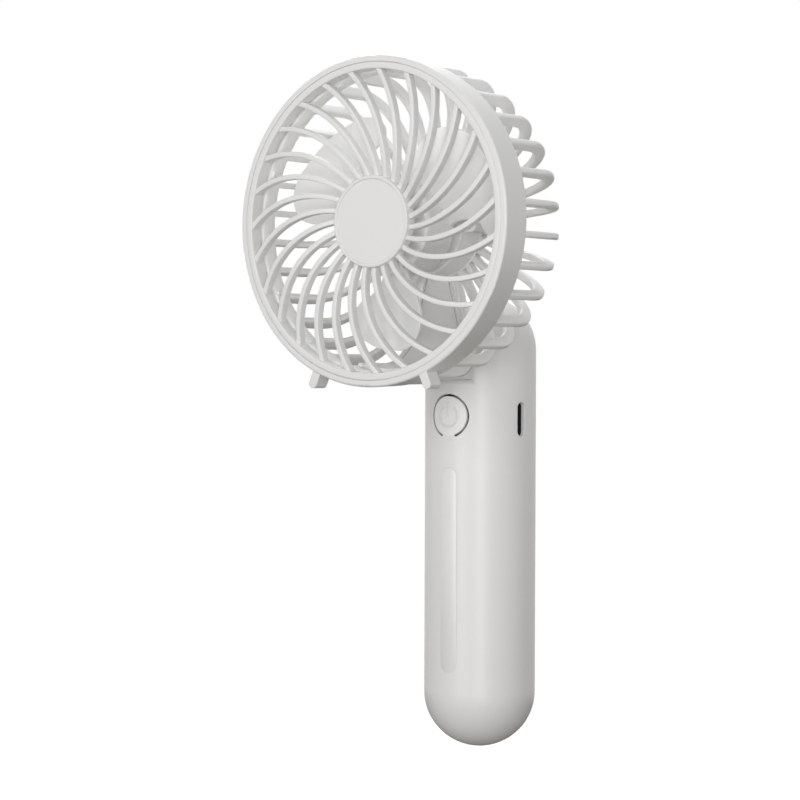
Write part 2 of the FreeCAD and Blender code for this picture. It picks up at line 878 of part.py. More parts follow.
def make_motor_can():
    body = head_body("motor_can")
    sketch = new_sketch(body, "XZ_Plane", "CanSection")
    inner = s.motor_radius - s.can_wall
    outline(
        sketch,
        [
            (s.bush_radius, -s.motor_front - s.can_wall),
            (s.bush_radius, s.nose_length - s.motor_front),
            (s.nose_radius, s.nose_length - s.motor_front),
            (s.nose_radius, -s.motor_front),
            (s.motor_radius, -s.motor_front, s.can_wall / 2),
            (s.motor_radius, s.seat_gap - cap_front),
            (inner, s.seat_gap - cap_front),
            (inner, -s.motor_front - s.can_wall),
        ],
    )
    spin(body, "Revolution", sketch, "Can")
    return body


def make_motor_magnets():
    """Two arc magnets that line the can, on its left and right."""
    body = head_body("motor_magnets")
    outer = s.motor_radius - s.can_wall
    inner = outer - s.magnet_thickness
    front = s.motor_front + s.can_wall + s.seat_gap
    sketch = new_sketch(body, "XY_Plane", "MagnetOutline", -front)
    half = s.magnet_angle / 2
    for middle in (0.0, 180.0):
        outline(
            sketch,
            [
                ("arc", polar(inner, middle), polar(inner, middle - half)),
                polar(outer, middle - half),
                ("arc", polar(outer, middle), polar(outer, middle + half)),
                polar(inner, middle + half),
            ],
        )
    extrude(body, "Pad", sketch, "Magnets", s.magnet_length, reverse=True)
    return body


def make_front_bush():
    body = head_body("front_bush")
    front = s.motor_front - s.nose_length
    tube(body, "Bush", s.bush_radius, s.shaft_radius + s.bearing_gap, front, front + s.bush_length)
    return body


def make_motor_end_cap():
    """The motor's rear cap, with the shaft's blind rear bearing."""
    body = head_body("motor_end_cap")
    sketch = new_sketch(body, "XZ_Plane", "CapSection")
    bearing = s.shaft_radius + s.bearing_gap
    floor = shaft_back + s.seat_gap
    outline(
        sketch,
        [
            (0.0, -motor_back),
            (s.motor_radius, -motor_back),
            (s.motor_radius, -cap_front),
            (bearing, -cap_front),
            (bearing, -floor),
            (0.0, -floor),
        ],
    )
    spin(body, "Revolution", sketch, "Cap")
    return body


def make_motor_brushes():
    """Two leaf brushes that stand on the end cap, above and below the commutator."""
    body = head_body("motor_brushes")
    sketch = new_sketch(body, "XY_Plane", "BrushOutline", s.seat_gap / 2 - cap_front)
    near = s.commutator_radius + s.brush_gap
    for side in (-1.0, 1.0):
        outline(
            sketch,
            [
                (-s.commutator_radius, near * side),
                (s.commutator_radius, near * side),
                (s.commutator_radius, (near + s.brush_thickness) * side),
                (-s.commutator_radius, (near + s.brush_thickness) * side),
            ],
        )
    extrude(body, "Pad", sketch, "Brushes", s.commutator_length)
    return body


def make_motor_shaft():
    body = head_body("motor_shaft")
    sketch = new_sketch(body, "XZ_Plane", "ShaftSection")
    tip = s.shaft_radius / 4
    outline(
        sketch,
        [
            (0.0, -shaft_back),
            (s.shaft_radius, -shaft_back),
            (s.shaft_radius, -s.shaft_front, tip),
            (0.0, -s.shaft_front),
        ],
    )
    spin(body, "Revolution", sketch, "Shaft")
    return body


# The laminated core sits in the middle of the magnets' length
core_middle = s.motor_front + s.can_wall + s.seat_gap + s.magnet_length / 2
core_radius = s.motor_radius - s.can_wall - s.magnet_thickness - s.air_gap
commutator_back = cap_front - s.brush_gap


def make_armature_core():
    """Three poles with wide rims round a hub, as one laminated stack."""
    body = head_body("armature_core")
    sketch = new_sketch(body, "XY_Plane", "HubOutline", s.core_length / 2 - core_middle)
    ring_line(sketch, (0.0, 0.0), s.core_hub)
    extrude(body, "Pad", sketch, "Hub", s.core_length, reverse=True)
    pole = new_sketch(body, "XY_Plane", "PoleOutline", s.core_length / 2 - core_middle)
    half = s.core_pole_angle / 2
    rim = core_radius - s.core_rim
    skew = arcsine(s.core_arm / 2 / rim)
    low = s.core_arm / 2
    outline(
        pole,
        [
            (s.core_hub / 2, -low),
            polar(rim, -skew),
            ("arc", polar(rim, -(half + skew) / 2), polar(rim, -half)),
            polar(core_radius, -half),
            ("arc", (core_radius, 0.0), polar(core_radius, half)),
            polar(rim, half),
            ("arc", polar(rim, (half + skew) / 2), polar(rim, skew)),
            (s.core_hub / 2, low),
        ],
    )
    arm = extrude(body, "Pad", pole, "Pole", s.core_length, reverse=True)
    pattern(body, [arm], "Poles", 3)
    bore = new_sketch(body, "XY_Plane", "CoreBoreOutline", s.core_length - core_middle)
    ring_line(bore, (0.0, 0.0), s.shaft_radius)
    extrude(body, "Pocket", bore, "CoreBore", s.core_length * 2)
    return body


def make_armature_windings():
    """One coil round each of the core's three arms, drawn as a plain wound block."""
    body = head_body("armature_windings")
    coil = new_sketch(body, "YZ_Plane", "CoilOutline", s.coil_start)
    arm = s.core_arm / 2 + s.seat_gap
    for side, reach in ((s.coil_half_width, s.winding_length / 2), (arm, s.core_length / 2 + s.seat_gap)):
        low = -core_middle - reach
        high = reach - core_middle
        outline(coil, [(-side, low), (side, low), (side, high), (-side, high)])
    block = extrude(body, "Pad", coil, "Coil", s.coil_end - s.coil_start)
    pattern(body, [block], "Coils", 3)
    return body


def make_commutator():
    body = head_body("commutator")
    front = commutator_back - s.commutator_length
    tube(body, "Commutator", s.commutator_radius, s.shaft_radius, front, commutator_back)
    return body


def blade_section(body, name, station, twist):
    """A slanting band across the blade at one distance along the blade's own axis."""
    angle = s.blade_axis
    sketch = body.newObject("Sketcher::SketchObject", name)
    sketch.AttachmentSupport = (plane_of(body, "YZ_Plane"), [""])
    sketch.MapMode = "FlatFace"
    turn = FreeCAD.Rotation(V(0, 1, 0), float(angle))
    sketch.AttachmentOffset = FreeCAD.Placement(turn.multVec(V(0, 0, float(station))), turn)
    sketch.setExpression("AttachmentOffset.Base.x", (station * sine(angle)).formula)
    sketch.setExpression("AttachmentOffset.Base.z", (station * cosine(angle)).formula)
    sketch.setExpression("AttachmentOffset.Rotation.Angle", angle.formula)
    reach = station * 0.82
    half = s.blade_thickness / 2
    points = []
    for across in (-reach, reach):
        lead = s.blade_axis + arctangent(across / station)
        points.append((across, lead * twist - s.blade_depth))
    low, high = points
    outline(
        sketch,
        [
            (low[0], low[1] - half),
            (high[0], high[1] - half),
            (high[0], high[1] + half),
            (low[0], low[1] + half),
        ],
    )
    return sketch


def make_impeller():
    """Three broad twisted blades: each is lofted outwards, cut to its outline as seen from the front,
    and copied round the hub."""
    body = head_body("impeller")
    root_station = s.hub_radius - s.hub_wall * 2
    tip_station = s.blade_tip_radius + s.hub_wall
    middle_station = (root_station + tip_station) / 2
    middle_twist = (s.root_twist + s.tip_twist) / 2
    inner = blade_section(body, "RootSection", root_station, s.root_twist)
    middle = blade_section(body, "MiddleSection", middle_station, middle_twist)
    outer = blade_section(body, "TipSection", tip_station, s.tip_twist)
    loft = body.newObject("PartDesign::AdditiveLoft", "Blade")
    loft.Profile = inner
    loft.Sections = [middle, outer]
    trim = new_sketch(body, "XY_Plane", "BladeOutline", s.ring_depth)
    tip = s.blade_tip_radius
    wall = s.hub_radius - s.hub_wall / 2
    ring_line(trim, (0.0, 0.0), tip * 2)
    outline(
        trim,
        [
            polar(wall, -8.0),
            ("arc", polar(s.hub_radius + (tip - s.hub_radius) * 0.25, 1.8), polar(tip * 0.7, -1.4)),
            ("arc", polar(tip * 0.86, -10.0), polar(tip * 0.988, -2.0)),
            ("arc", polar(tip, 15.0), polar(tip, 32.0)),
            ("arc", polar(tip * 0.945, 49.0), polar(tip * 0.79, 57.8)),
            ("arc", polar(tip * 0.6, 60.4), polar(wall, 57.0)),
        ],
    )
    cut = extrude(body, "Pocket", trim, "BladeTrim", s.basket_depth * 2)
    pattern(body, [], "Blades", s.blade_count, whole=cut)
    hub = new_sketch(body, "XZ_Plane", "HubSection")
    floor = s.hub_front + s.hub_wall
    inside = s.hub_radius - s.hub_wall
    outline(
        hub,
        [
            (0.0, -s.hub_front),
            (s.hub_radius, -s.hub_front, s.hub_edge),
            (s.hub_radius, -s.hub_rear),
            (inside, -s.hub_rear),
            (inside, -floor),
            (s.hub_boss, -floor),
            (s.hub_boss, -s.hub_rear),
            (s.shaft_radius, -s.hub_rear),
            (s.shaft_radius, s.seat_gap - s.shaft_front),
            (0.0, s.seat_gap - s.shaft_front),
        ],
    )
    spin(body, "Revolution", hub, "Hub")
    return body


def capsule_band(sketch, outer, inner):
    """The wall of a round-ended tube, drawn on one side of its axis."""
    reach = handle_length / 2 - s.handle_radius
    corners = []
    diagonal = cosine(45.0)
    for radius, up in ((outer, 1.0), (inner, -1.0)):
        bulge = radius * diagonal
        corners.append(("arc", (bulge, (-bulge - reach) * up), (radius, -reach * up)))
        corners.append((radius, reach * up))
        corners.append(("arc", (bulge, (bulge + reach) * up), (0.0, (radius + reach) * up)))
        corners.append((0.0, (other_end(outer, inner, up) + reach) * up))
    outline(sketch, corners)


def other_end(outer, inner, up):
    return inner if up > 0 else outer


def button_outline(sketch, radius, hinge_half_width, hinge_drop):
    """A disc with a square tab below it."""
    centre = button_height
    shoulder = centre - radius * cosine(arcsine(hinge_half_width / radius))
    bottom = centre - hinge_drop
    outline(
        sketch,
        [
            (-hinge_half_width, bottom),
            (hinge_half_width, bottom),
            (hinge_half_width, shoulder),
            ("arc", (0.0, centre + radius), (-hinge_half_width, shoulder)),
        ],
    )


def cover_outline(sketch, inset):
    half = s.cover_half_width - inset
    top = cover_top - inset
    bottom = cover_bottom + inset
    corner = s.cover_corner - inset
    outline(
        sketch,
        [(-half, bottom, corner), (half, bottom, corner), (half, top, corner), (-half, top, corner)],
    )


def make_handle_shell():
    """A round-ended tube, open at the back for the cover, with the saddle that carries the head."""
    body = new_body("handle_shell")
    cavity = s.handle_radius - s.handle_wall
    sketch = new_sketch(body, "YZ_Plane", "TubeSection")
    capsule_band(sketch, s.handle_radius, cavity)
    spin(body, "Revolution", sketch, "Tube")
    saddle = new_sketch(body, "XZ_Plane", "SaddleOutline", s.saddle_back)
    half = s.saddle_half_width
    low = head_height - s.saddle_bottom
    high = head_height - s.saddle_top
    outline(saddle, [(-half, low), (half, low), (half, high), (-half, high)])
    extrude(body, "Pad", saddle, "Saddle", s.saddle_reach)
    # The saddle is hollowed to the shape of the basket's back
    seat = new_sketch(body, "YZ_Plane", "SeatSection")
    seat_radius = basket_radius + s.seat_gap
    seat_back = s.basket_depth + s.seat_gap - head_reach
    outline(
        seat,
        [
            (-head_reach, head_height),
            (seat_back, head_height),
            (seat_back, head_height - seat_radius, s.basket_corner + s.seat_gap),
            (-head_reach, head_height - seat_radius),
        ],
    )
    start = V(-float(head_reach), float(head_height), 0)
    line = sketch_axis(seat, start, start + V(float(s.basket_depth), 0, 0), head_height)
    spin(body, "Groove", seat, "Seat", axis=line)
    blend_saddle(body)
    window = new_sketch(body, "XZ_Plane", "StubWindowOutline", s.saddle_back + s.saddle_reach)
    half = s.stub_half_width + s.seat_gap
    low = head_height - s.stub_bottom - s.seat_gap
    high = head_height - s.stub_top + s.seat_gap
    outline(window, [(-half, low), (half, low), (half, high), (-half, high)])
    extrude(body, "Pocket", window, "StubWindow", s.handle_radius)
    opening = new_sketch(body, "XZ_Plane", "BackOpeningOutline")
    cover_outline(opening, 0.0)
    extrude(body, "Pocket", opening, "BackOpening", s.handle_radius * 2)
    button = new_sketch(body, "XZ_Plane", "ButtonWindowOutline")
    slot_radius = s.button_radius + s.button_slot
    button_outline(button, slot_radius, s.hinge_half_width + s.seat_gap, s.hinge_drop + s.seat_gap)
    extrude(body, "Pocket", button, "ButtonWindow", s.handle_radius * 2, reverse=True)
    recess = new_sketch(body, "XZ_Plane", "StripRecessOutline", s.handle_radius - s.strip_depth)
    obround(recess, (0.0, strip_height), s.strip_length, s.strip_width)
    extrude(body, "Pocket", recess, "StripRecess", s.handle_wall * 2, reverse=True)
    port = new_sketch(body, "YZ_Plane", "PortOutline")
    obround(port, (-s.port_forward, port_height), s.port_length, s.port_width)
    extrude(body, "Pocket", port, "Port", s.handle_radius * 2, reverse=True)
    # Two ribs cradle the battery, and two posts carry the board
    for height, name in ((cradle_low, "LowCradle"), (cradle_high, "HighCradle")):
        cradle = new_sketch(body, "XY_Plane", name + "Outline", height)
        edge = cavity + (s.handle_wall - s.strip_depth) / 2
        side = edge * cosine(arcsine(s.cradle_open / edge))
        outline(cradle, [("arc", (0.0, -edge), (side, -s.cradle_open)), (-side, -s.cradle_open)])
        extrude(body, "Pad", cradle, name, s.cradle_thickness)
    bed = new_sketch(body, "XY_Plane", "CellBedOutline", cradle_high + s.cradle_thickness * 2)
    ring_line(bed, (0.0, 0.0), s.cell_radius + s.brush_gap / 2)
    extrude(body, "Pocket", bed, "CellBed", cradle_high - cradle_low + s.cradle_thickness * 4)
    posts = new_sketch(body, "XZ_Plane", "PostOutline", s.board_front + s.seat_gap)
    holes = new_sketch(body, "XZ_Plane", "PostHoleOutline", s.board_front)
    for side, height in ((-s.post_side, post_low), (s.post_side, post_high)):
        ring_line(posts, (side, height), s.post_radius)
        ring_line(holes, (side, height), s.board_screw_radius)
    extrude(body, "Pad", posts, "Posts", s.post_root - s.board_front - s.seat_gap)
    extrude(body, "Pocket", holes, "PostHoles", s.board_screw_length, reverse=True)
    return body


def sketch_axis(sketch, start, end, height):
    """A level construction line to turn a sketch about. Returns its name as an axis."""
    line = sketch.addGeometry(Part.LineSegment(start, end), True)
    sketch.addConstraint(Sketcher.Constraint("Horizontal", line))
    index = sketch.addConstraint(Sketcher.Constraint("DistanceY", -1, 1, line, 1, float(height)))
    sketch.setExpression(f"Constraints[{index}]", height.formula)
    return "Axis0"


def blend_saddle(body):
    """Rounds the inside corner where the saddle's sides meet the round tube."""
    doc.recompute()
    reach = float(handle_length / 2 - s.handle_radius)
    names = []
    for number, edge in enumerate(body.Shape.Edges, start=1):
        middle = edge.valueAt((edge.FirstParameter + edge.LastParameter) / 2)
        above = max(abs(middle.z) - reach, 0.0)
        distance = V(middle.x, middle.y, above).Length
        on_side = abs(middle.x) < float(s.saddle_half_width) + 1e-3
        outside = middle.y < -float(s.saddle_back) + 1.0
        if abs(distance - float(s.handle_radius)) < 1e-3 and on_side and outside:
            names.append(f"Edge{number}")
    blend = body.newObject("PartDesign::Fillet", "SaddleBlend")
    blend.Base = (body.getObject("Seat"), names)
    bind(blend, "Radius", s.saddle_blend)


def curved_plate(body, sketch, name, outer, inner):
    """A plate that is part of a round wall behind the handle's axis: padded back, then turned to size."""
    extrude(body, "Pad", sketch, name, outer, reverse=True)
    hollow = new_sketch(body, "XZ_Plane", name + "HollowLine")
    reach = handle_length
    outline(hollow, [(0.0, -reach), (inner, -reach), (inner, reach), (0.0, reach)])
    spin(body, "Groove", hollow, name + "Hollow")
    return trim_outside(body, name + "Outside", outer)


def make_back_cover():
    body = new_body("back_cover")
    cavity = s.handle_radius - s.handle_wall
    sketch = new_sketch(body, "XZ_Plane", "CoverOutline")
    cover_outline(sketch, s.seam_gap)
    curved_plate(body, sketch, "Cover", s.handle_radius, cavity)
    tongues = new_sketch(body, "YZ_Plane", "TongueSection")
    skin = cavity - s.seat_gap
    inside = skin - s.tongue_thickness
    edge = s.seam_gap * 2
    for end, way in ((cover_top, 1.0), (cover_bottom, -1.0)):
        outline(
            tongues,
            [
                (inside, end - (s.tongue_length + edge) * way),
                (cavity + edge, end - (s.tongue_length + edge) * way),
                (cavity + edge, end - edge * way),
                (skin, end - edge * way),
                (skin, end + s.tongue_length * way),
                (inside, end + s.tongue_length * way),
            ],
        )
    spread = 2 * arcsine(s.tongue_half_width / cavity)
    spin(body, "Revolution", tongues, "Tongues", spread, both_sides=True)
    return body


def make_handle_strip():
    body = new_body("handle_strip")
    floor = s.handle_radius - s.strip_depth + s.seat_gap
    sketch = new_sketch(body, "XZ_Plane", "StripOutline", floor)
    inset = 2 * s.seam_gap
    obround(sketch, (0.0, strip_height), s.strip_length - inset, s.strip_width - inset)
    extrude(body, "Pad", sketch, "Strip", s.handle_wall)
    trim_outside(body, "StripOutside", s.handle_radius)
    return body


def make_power_button():
    """The button disc, its thin hinge tab below and the stem that presses the switch."""
    body = new_body("power_button")
    face = s.handle_radius - s.button_thickness
    sketch = new_sketch(body, "XZ_Plane", "ButtonOutline", face)
    ring_line(sketch, (0.0, button_height), s.button_radius)
    extrude(body, "Pad", sketch, "Disc", s.button_thickness * 2)
    hinge = new_sketch(body, "XZ_Plane", "HingeOutline", s.handle_radius - s.hinge_thickness)
    button_outline(hinge, s.button_radius - s.button_slot, s.hinge_half_width, s.hinge_drop)
    extrude(body, "Pad", hinge, "Hinge", s.button_thickness)
    trim_outside(body, "ButtonOutside", s.handle_radius)
    tip = s.board_front + s.switch_thickness + s.plunger_reach + s.press_gap
    stem = new_sketch(body, "XZ_Plane", "StemOutline", tip)
    ring_line(stem, (0.0, button_height), s.button_stem_radius)
    extrude(body, "Pad", stem, "Stem", face + s.seam_gap - tip)
    return body


def make_switch_body():
    body = new_body("switch_body")
    back = s.board_front + s.part_gap
    sketch = new_sketch(body, "XZ_Plane", "SwitchOutline", back)
    half = s.switch_side / 2
    corners = []
    for x, z in ((-half, -half), (half, -half), (half, half), (-half, half)):
        corners.append((x, button_height + z))
    outline(sketch, corners)
    extrude(body, "Pad", sketch, "Case", s.switch_thickness - s.part_gap)
    well = new_sketch(body, "XZ_Plane", "WellOutline", s.board_front + s.switch_thickness - s.plunger_well)
    ring_line(well, (0.0, button_height), s.plunger_radius + s.seat_gap)
    extrude(body, "Pocket", well, "Well", s.plunger_well * 2, reverse=True)
    return body


def make_switch_plunger():
    body = new_body("switch_plunger")
    back = s.board_front + s.switch_thickness - s.plunger_well / 3 * 2
    tip = s.board_front + s.switch_thickness + s.plunger_reach
    sketch = new_sketch(body, "XZ_Plane", "PlungerOutline", back)
    ring_line(sketch, (0.0, button_height), s.plunger_radius)
    extrude(body, "Pad", sketch, "Plunger", tip - back)
    return body


def make_main_board():
    body = new_body("main_board")
    back = s.board_front - s.board_thickness
    sketch = new_sketch(body, "XZ_Plane", "BoardOutline", back)
    corner = s.board_thickness
    outline(
        sketch,
        [
            (-s.board_left, board_bottom, corner),
            (s.board_right, board_bottom, corner),
            (s.board_right, board_top, corner),
            (-s.board_left, board_top, corner),
        ],
    )
    for side, height in ((-s.post_side, post_low), (s.post_side, post_high)):
        ring_line(sketch, (side, height), s.board_screw_radius + s.seat_gap)
    extrude(body, "Pad", sketch, "Board", s.board_thickness)
    return body


def make_board_screws():
    body = new_body("board_screws")
    back = s.board_front - s.board_thickness - s.seat_gap / 2
    places = (("Low", -s.post_side, post_low), ("High", s.post_side, post_high))
    for name, side, height in places:
        turned_screw(
            body, name, (side, height), "XZ_Plane", back, s.board_screw_head, s.board_thickness,
            s.board_screw_radius - s.seat_gap / 2, s.board_screw_length, False,
        )
    return body


def make_board_parts():
    """The controller chip, the choke and three capacitors, on the front of the board."""
    back = s.board_front + s.part_gap
    chip = new_body("controller_chip")
    sketch = new_sketch(chip, "XZ_Plane", "ChipOutline", back)
    half = s.chip_side / 2
    middle = board_bottom + s.chip_side * 2.4
    outline(
        sketch,
        [
            (-s.chip_side - half, middle - half),
            (-s.chip_side + half, middle - half),
            (-s.chip_side + half, middle + half),
            (-s.chip_side - half, middle + half),
        ],
    )
    extrude(chip, "Pad", sketch, "Chip", s.chip_thickness)
    choke = new_body("choke")
    coil = new_sketch(choke, "XZ_Plane", "ChokeOutline", back)
    ring_line(coil, (s.chip_side, middle), s.choke_radius)
    extrude(choke, "Pad", coil, "Choke", s.choke_thickness)
    capacitors = new_body("capacitors")
    blocks = new_sketch(capacitors, "XZ_Plane", "CapacitorOutline", back)
    for step in (0.0, 1.0, 2.0):
        low = button_height - s.capacitor_width + step * s.capacitor_length
        left = s.chip_side + s.capacitor_length / 2
        outline(
            blocks,
            [
                (-left, low),
                (s.capacitor_length - left, low),
                (s.capacitor_length - left, low + s.capacitor_width),
                (-left, low + s.capacitor_width),
            ],
        )
    extrude(capacitors, "Pad", blocks, "Capacitors", s.capacitor_width)
    return [chip, choke, capacitors]


def make_socket_shell():
    """The socket's drawn metal shell, open towards the slot in the handle's side."""
    body = new_body("socket_shell")
    sketch = new_sketch(body, "YZ_Plane", "ShellOutline", s.handle_radius - s.socket_setback)
    centre = (-s.port_forward, port_height)
    obround(sketch, centre, s.socket_length, s.socket_width)
    obround(sketch, centre, s.socket_length - 2 * s.socket_wall, s.socket_width - 2 * s.socket_wall)
    extrude(body, "Pad", sketch, "Shell", s.socket_depth, reverse=True)
    return body


def make_socket_tongue():
    """The block that closes the back of the socket, with the contact tongue on it."""
    body = new_body("socket_tongue")
    back = s.handle_radius - s.socket_setback - s.socket_depth
    sketch = new_sketch(body, "YZ_Plane", "BlockOutline", back)
    inset = 2 * (s.socket_wall + s.seat_gap)
    obround(sketch, (-s.port_forward, port_height), s.socket_length - inset, s.socket_width - inset)
    extrude(body, "Pad", sketch, "Block", s.socket_block)
    plate = new_sketch(body, "YZ_Plane", "TongueOutline", back + s.socket_block)
    low = port_height - s.tongue_plate_length / 2
    high = port_height + s.tongue_plate_length / 2
    near = -s.port_forward - s.tongue_plate_width / 2
    far = -s.port_forward + s.tongue_plate_width / 2
    outline(plate, [(near, low), (far, low), (far, high), (near, high)])
    extrude(body, "Pad", plate, "Tongue", s.tongue_plate_depth)
    return body


def make_neck_plate():
    """The plate inside the handle that the neck screws clamp against the saddle."""
    body = head_body("neck_plate")
    front = head_reach - s.saddle_back + s.seat_gap
    sketch = new_sketch(body, "XY_Plane", "PlateOutline", -front)
    wide = s.saddle_half_width - s.chip_thickness / 2
    narrow = s.stub_half_width - s.handle_wall
    low = -s.stub_bottom - s.neck_plate_thickness * 2
    shoulder = -s.stub_top - s.handle_wall * 2
    high = s.seat_gap - s.stub_top + s.chip_thickness
    outline(
        sketch,
        [(-wide, low), (wide, low), (wide, shoulder), (narrow, high), (-narrow, high), (-wide, shoulder)],
    )
    middle = -(s.stub_top + s.stub_bottom) / 2
    ring_line(sketch, (0.0, middle), s.stub_bore_radius)
    for side in (-1.0, 1.0):
        ring_line(sketch, (0.0, middle + s.neck_screw_spread * side), s.neck_screw_radius + s.seat_gap)
    extrude(body, "Pad", sketch, "Plate", s.neck_plate_thickness, reverse=True)
    return body


def make_neck_screws():
    body = head_body("neck_screws")
    back = head_reach - s.saddle_back + s.seat_gap * 2 + s.neck_plate_thickness
    middle = -(s.stub_top + s.stub_bottom) / 2
    shank = back - inner_depth - s.stub_length + s.neck_screw_length - s.seam_gap
    for side, name in ((-1.0, "Low"), (1.0, "High")):
        turned_screw(
            body, name, (0.0, middle + s.neck_screw_spread * side), "XY_Plane", -back,
            s.neck_screw_head, s.retainer_thickness, s.neck_screw_radius - s.seat_gap / 2, shank, False,
        )
    return body


def make_battery_cell():
    body = new_body("battery_cell")
    sketch = new_sketch(body, "XZ_Plane", "CellSection")
    low = cell_bottom
    high = cell_bottom + s.cell_length
    terminal = s.tab_width / 2
    rise = s.seat_gap + s.ring_thickness
    edge = s.can_wall / 2
    outline(
        sketch,
        [
            (0.0, low - rise),
            (terminal, low - rise),
            (terminal, low),
            (s.cell_radius, low, edge),
            (s.cell_radius, high, edge),
            (terminal, high),
            (terminal, high + rise),
            (0.0, high + rise),
        ],
    )
    spin(body, "Revolution", sketch, "Cell")
    return body


def make_battery_rings():
    """An insulating ring round the terminal at each end of the cell."""
    body = new_body("battery_rings")
    sketch = new_sketch(body, "XZ_Plane", "RingSection")
    inner = s.tab_width / 2 + s.brush_gap
    outer = s.cell_radius - s.brush_gap
    high = cell_bottom + s.cell_length + s.seat_gap
    low = cell_bottom - s.seat_gap
    for base, way in ((high, 1.0), (low, -1.0)):
        top = base + s.ring_thickness * way
        outline(sketch, [(inner, base), (outer, base), (outer, top), (inner, top)])
    spin(body, "Revolution", sketch, "Rings")
    return body


def make_battery_tabs():
    """The welded tabs that carry the current off each terminal."""
    body = new_body("battery_tabs")
    rise = s.ring_thickness + s.seat_gap * 2
    wide = s.tab_length / 2
    narrow = s.tab_width / 2
    ends = (
        ("High", cell_bottom + s.cell_length + rise, narrow, wide, False),
        ("Low", cell_bottom - rise, wide, narrow, True),
    )
    for name, height, across, along, down in ends:
        sketch = new_sketch(body, "XY_Plane", name + "TabOutline", height)
        outline(sketch, [(-across, -along), (across, -along), (across, along), (-across, along)])
        extrude(body, "Pad", sketch, name + "Tab", s.tab_thickness, reverse=down)
    return body


def make_battery_pad():
    """The foam pad between the cell and the back cover."""
    body = new_body("battery_pad")
    sketch = new_sketch(body, "XZ_Plane", "PadOutline")
    half = s.pad_half_width
    low = pad_height - s.pad_length / 2
    high = pad_height + s.pad_length / 2
    outline(sketch, [(-half, low), (half, low), (half, high), (-half, high)])
    outer = s.handle_radius - s.handle_wall - s.seat_gap
    curved_plate(body, sketch, "Foam", outer, s.cell_radius + s.seat_gap)
    return body


def lead(points):
    """A round wire along straight runs joined by arcs of the bend radius."""
    bend = float(s.lead_bend)
    corners = [V(*(float(value) for value in point)) for point in points]
    edges = []
    start = corners[0]
    for before, here, after in zip(corners, corners[1:], corners[2:]):
        back = (before - here).normalize()
        ahead = (after - here).normalize()
        half = back.getAngle(ahead) / 2
        reach = bend / math.tan(half)
        centre = here + (back + ahead).normalize() * (bend / math.sin(half))
        middle = centre + (here - centre).normalize() * bend
        edges.append(Part.LineSegment(start, here + back * reach).toShape())
        edges.append(Part.Arc(here + back * reach, middle, here + ahead * reach).toShape())
        start = here + ahead * reach
    edges.append(Part.LineSegment(start, corners[-1]).toShape())
    path = Part.Wire(edges)
    profile = Part.Wire([Part.makeCircle(float(s.lead_radius), corners[0], corners[1] - corners[0])])
    return path.makePipeShell([profile], True, False)


def make_battery_leads():
    skin = s.board_thickness - s.board_front + s.seat_gap + s.lead_radius
    top = cell_bottom + s.cell_length + s.ring_thickness + s.tab_thickness + s.seat_gap * 3
    under = cell_bottom - s.ring_thickness - s.tab_thickness - s.seat_gap * 3 - s.lead_radius
    rise = board_bottom + s.lead_bend
    live = lead([(0.0, skin, top), (0.0, skin, rise)])
    side = -s.lead_side
    ground = lead(
        [
            (side + s.handle_radius / 4, 0.0, under),
            (side, 0.0, under),
            (side, 0.0, board_bottom - s.lead_bend * 2.5),
            (side, skin, board_bottom - s.seam_gap),
            (side, skin, rise),
        ]
    )
    return solid_feature("battery_leads", Part.Compound([live, ground]))


def make_motor_leads():
    """Two leads from the motor's end cap, down the neck and back through the stub to the board."""
    depth = cap_front - head_reach
    bore = head_height - (s.stub_top + s.stub_bottom) / 2
    skin = -s.board_front - s.seat_gap - s.lead_radius
    wires = []
    for side in (-s.lead_spread, s.lead_spread):
        wires.append(
            lead(
                [
                    (side, depth, head_height - cup_bore - s.seam_gap * 2),
                    (side, depth, bore),
                    (side, skin, bore),
                    (side, skin, board_top - s.switch_thickness),
                ]
            )
        )
    return solid_feature("motor_leads", Part.Compound(wires))


pieces = [
    make_front_ring(),
    make_front_grille(),
    make_hub_disc(),
    make_rear_basket(),
    make_wire_cover(),
    make_motor_retainer(),
    make_retainer_screws(),
    make_motor_can(),
    make_motor_magnets(),
    make_front_bush(),
    make_motor_end_cap(),
    make_motor_brushes(),
    make_motor_shaft(),
    make_armature_core(),
    make_armature_windings(),
    make_commutator(),
    make_impeller(),
    make_handle_shell(),
    make_back_cover(),
    make_handle_strip(),
    make_power_button(),
    make_switch_body(),
    make_switch_plunger(),
    make_main_board(),
    make_board_screws(),
    *make_board_parts(),
    make_socket_shell(),
    make_socket_tongue(),
    make_neck_plate(),
    make_neck_screws(),
    make_battery_cell(),
    make_battery_rings(),
    make_battery_tabs(),
    make_battery_pad(),
    make_battery_leads(),
    make_motor_leads(),
]
doc.recompute()

for item in doc.Objects:
    if "Invalid" in item.State or "Error" in item.State:
        raise RuntimeError(f"{item.Name} has state {item.State}")
for piece in pieces:
    if piece.Shape.isNull() or not piece.Shape.isValid() or not piece.Shape.Solids:
        raise RuntimeError(f"{piece.Label} has no valid solid")

os.makedirs("parts", exist_ok=True)
for piece in pieces:
    piece.Shape.exportStep(f"parts/{piece.Label}.step")
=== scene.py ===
# %% [markdown]
# # A portable hand fan, dressed for its portrait
#
# The fan is a round guarded head on an upright round handle, all of it moulded in one pale plastic. The
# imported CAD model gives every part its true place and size. This lesson loads that model, gives each part
# the finish of the real one, and rebuilds the parts whose soft edges a close look needs.

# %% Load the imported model
import bpy
import bmesh
import math
from mathutils import Matrix, Vector


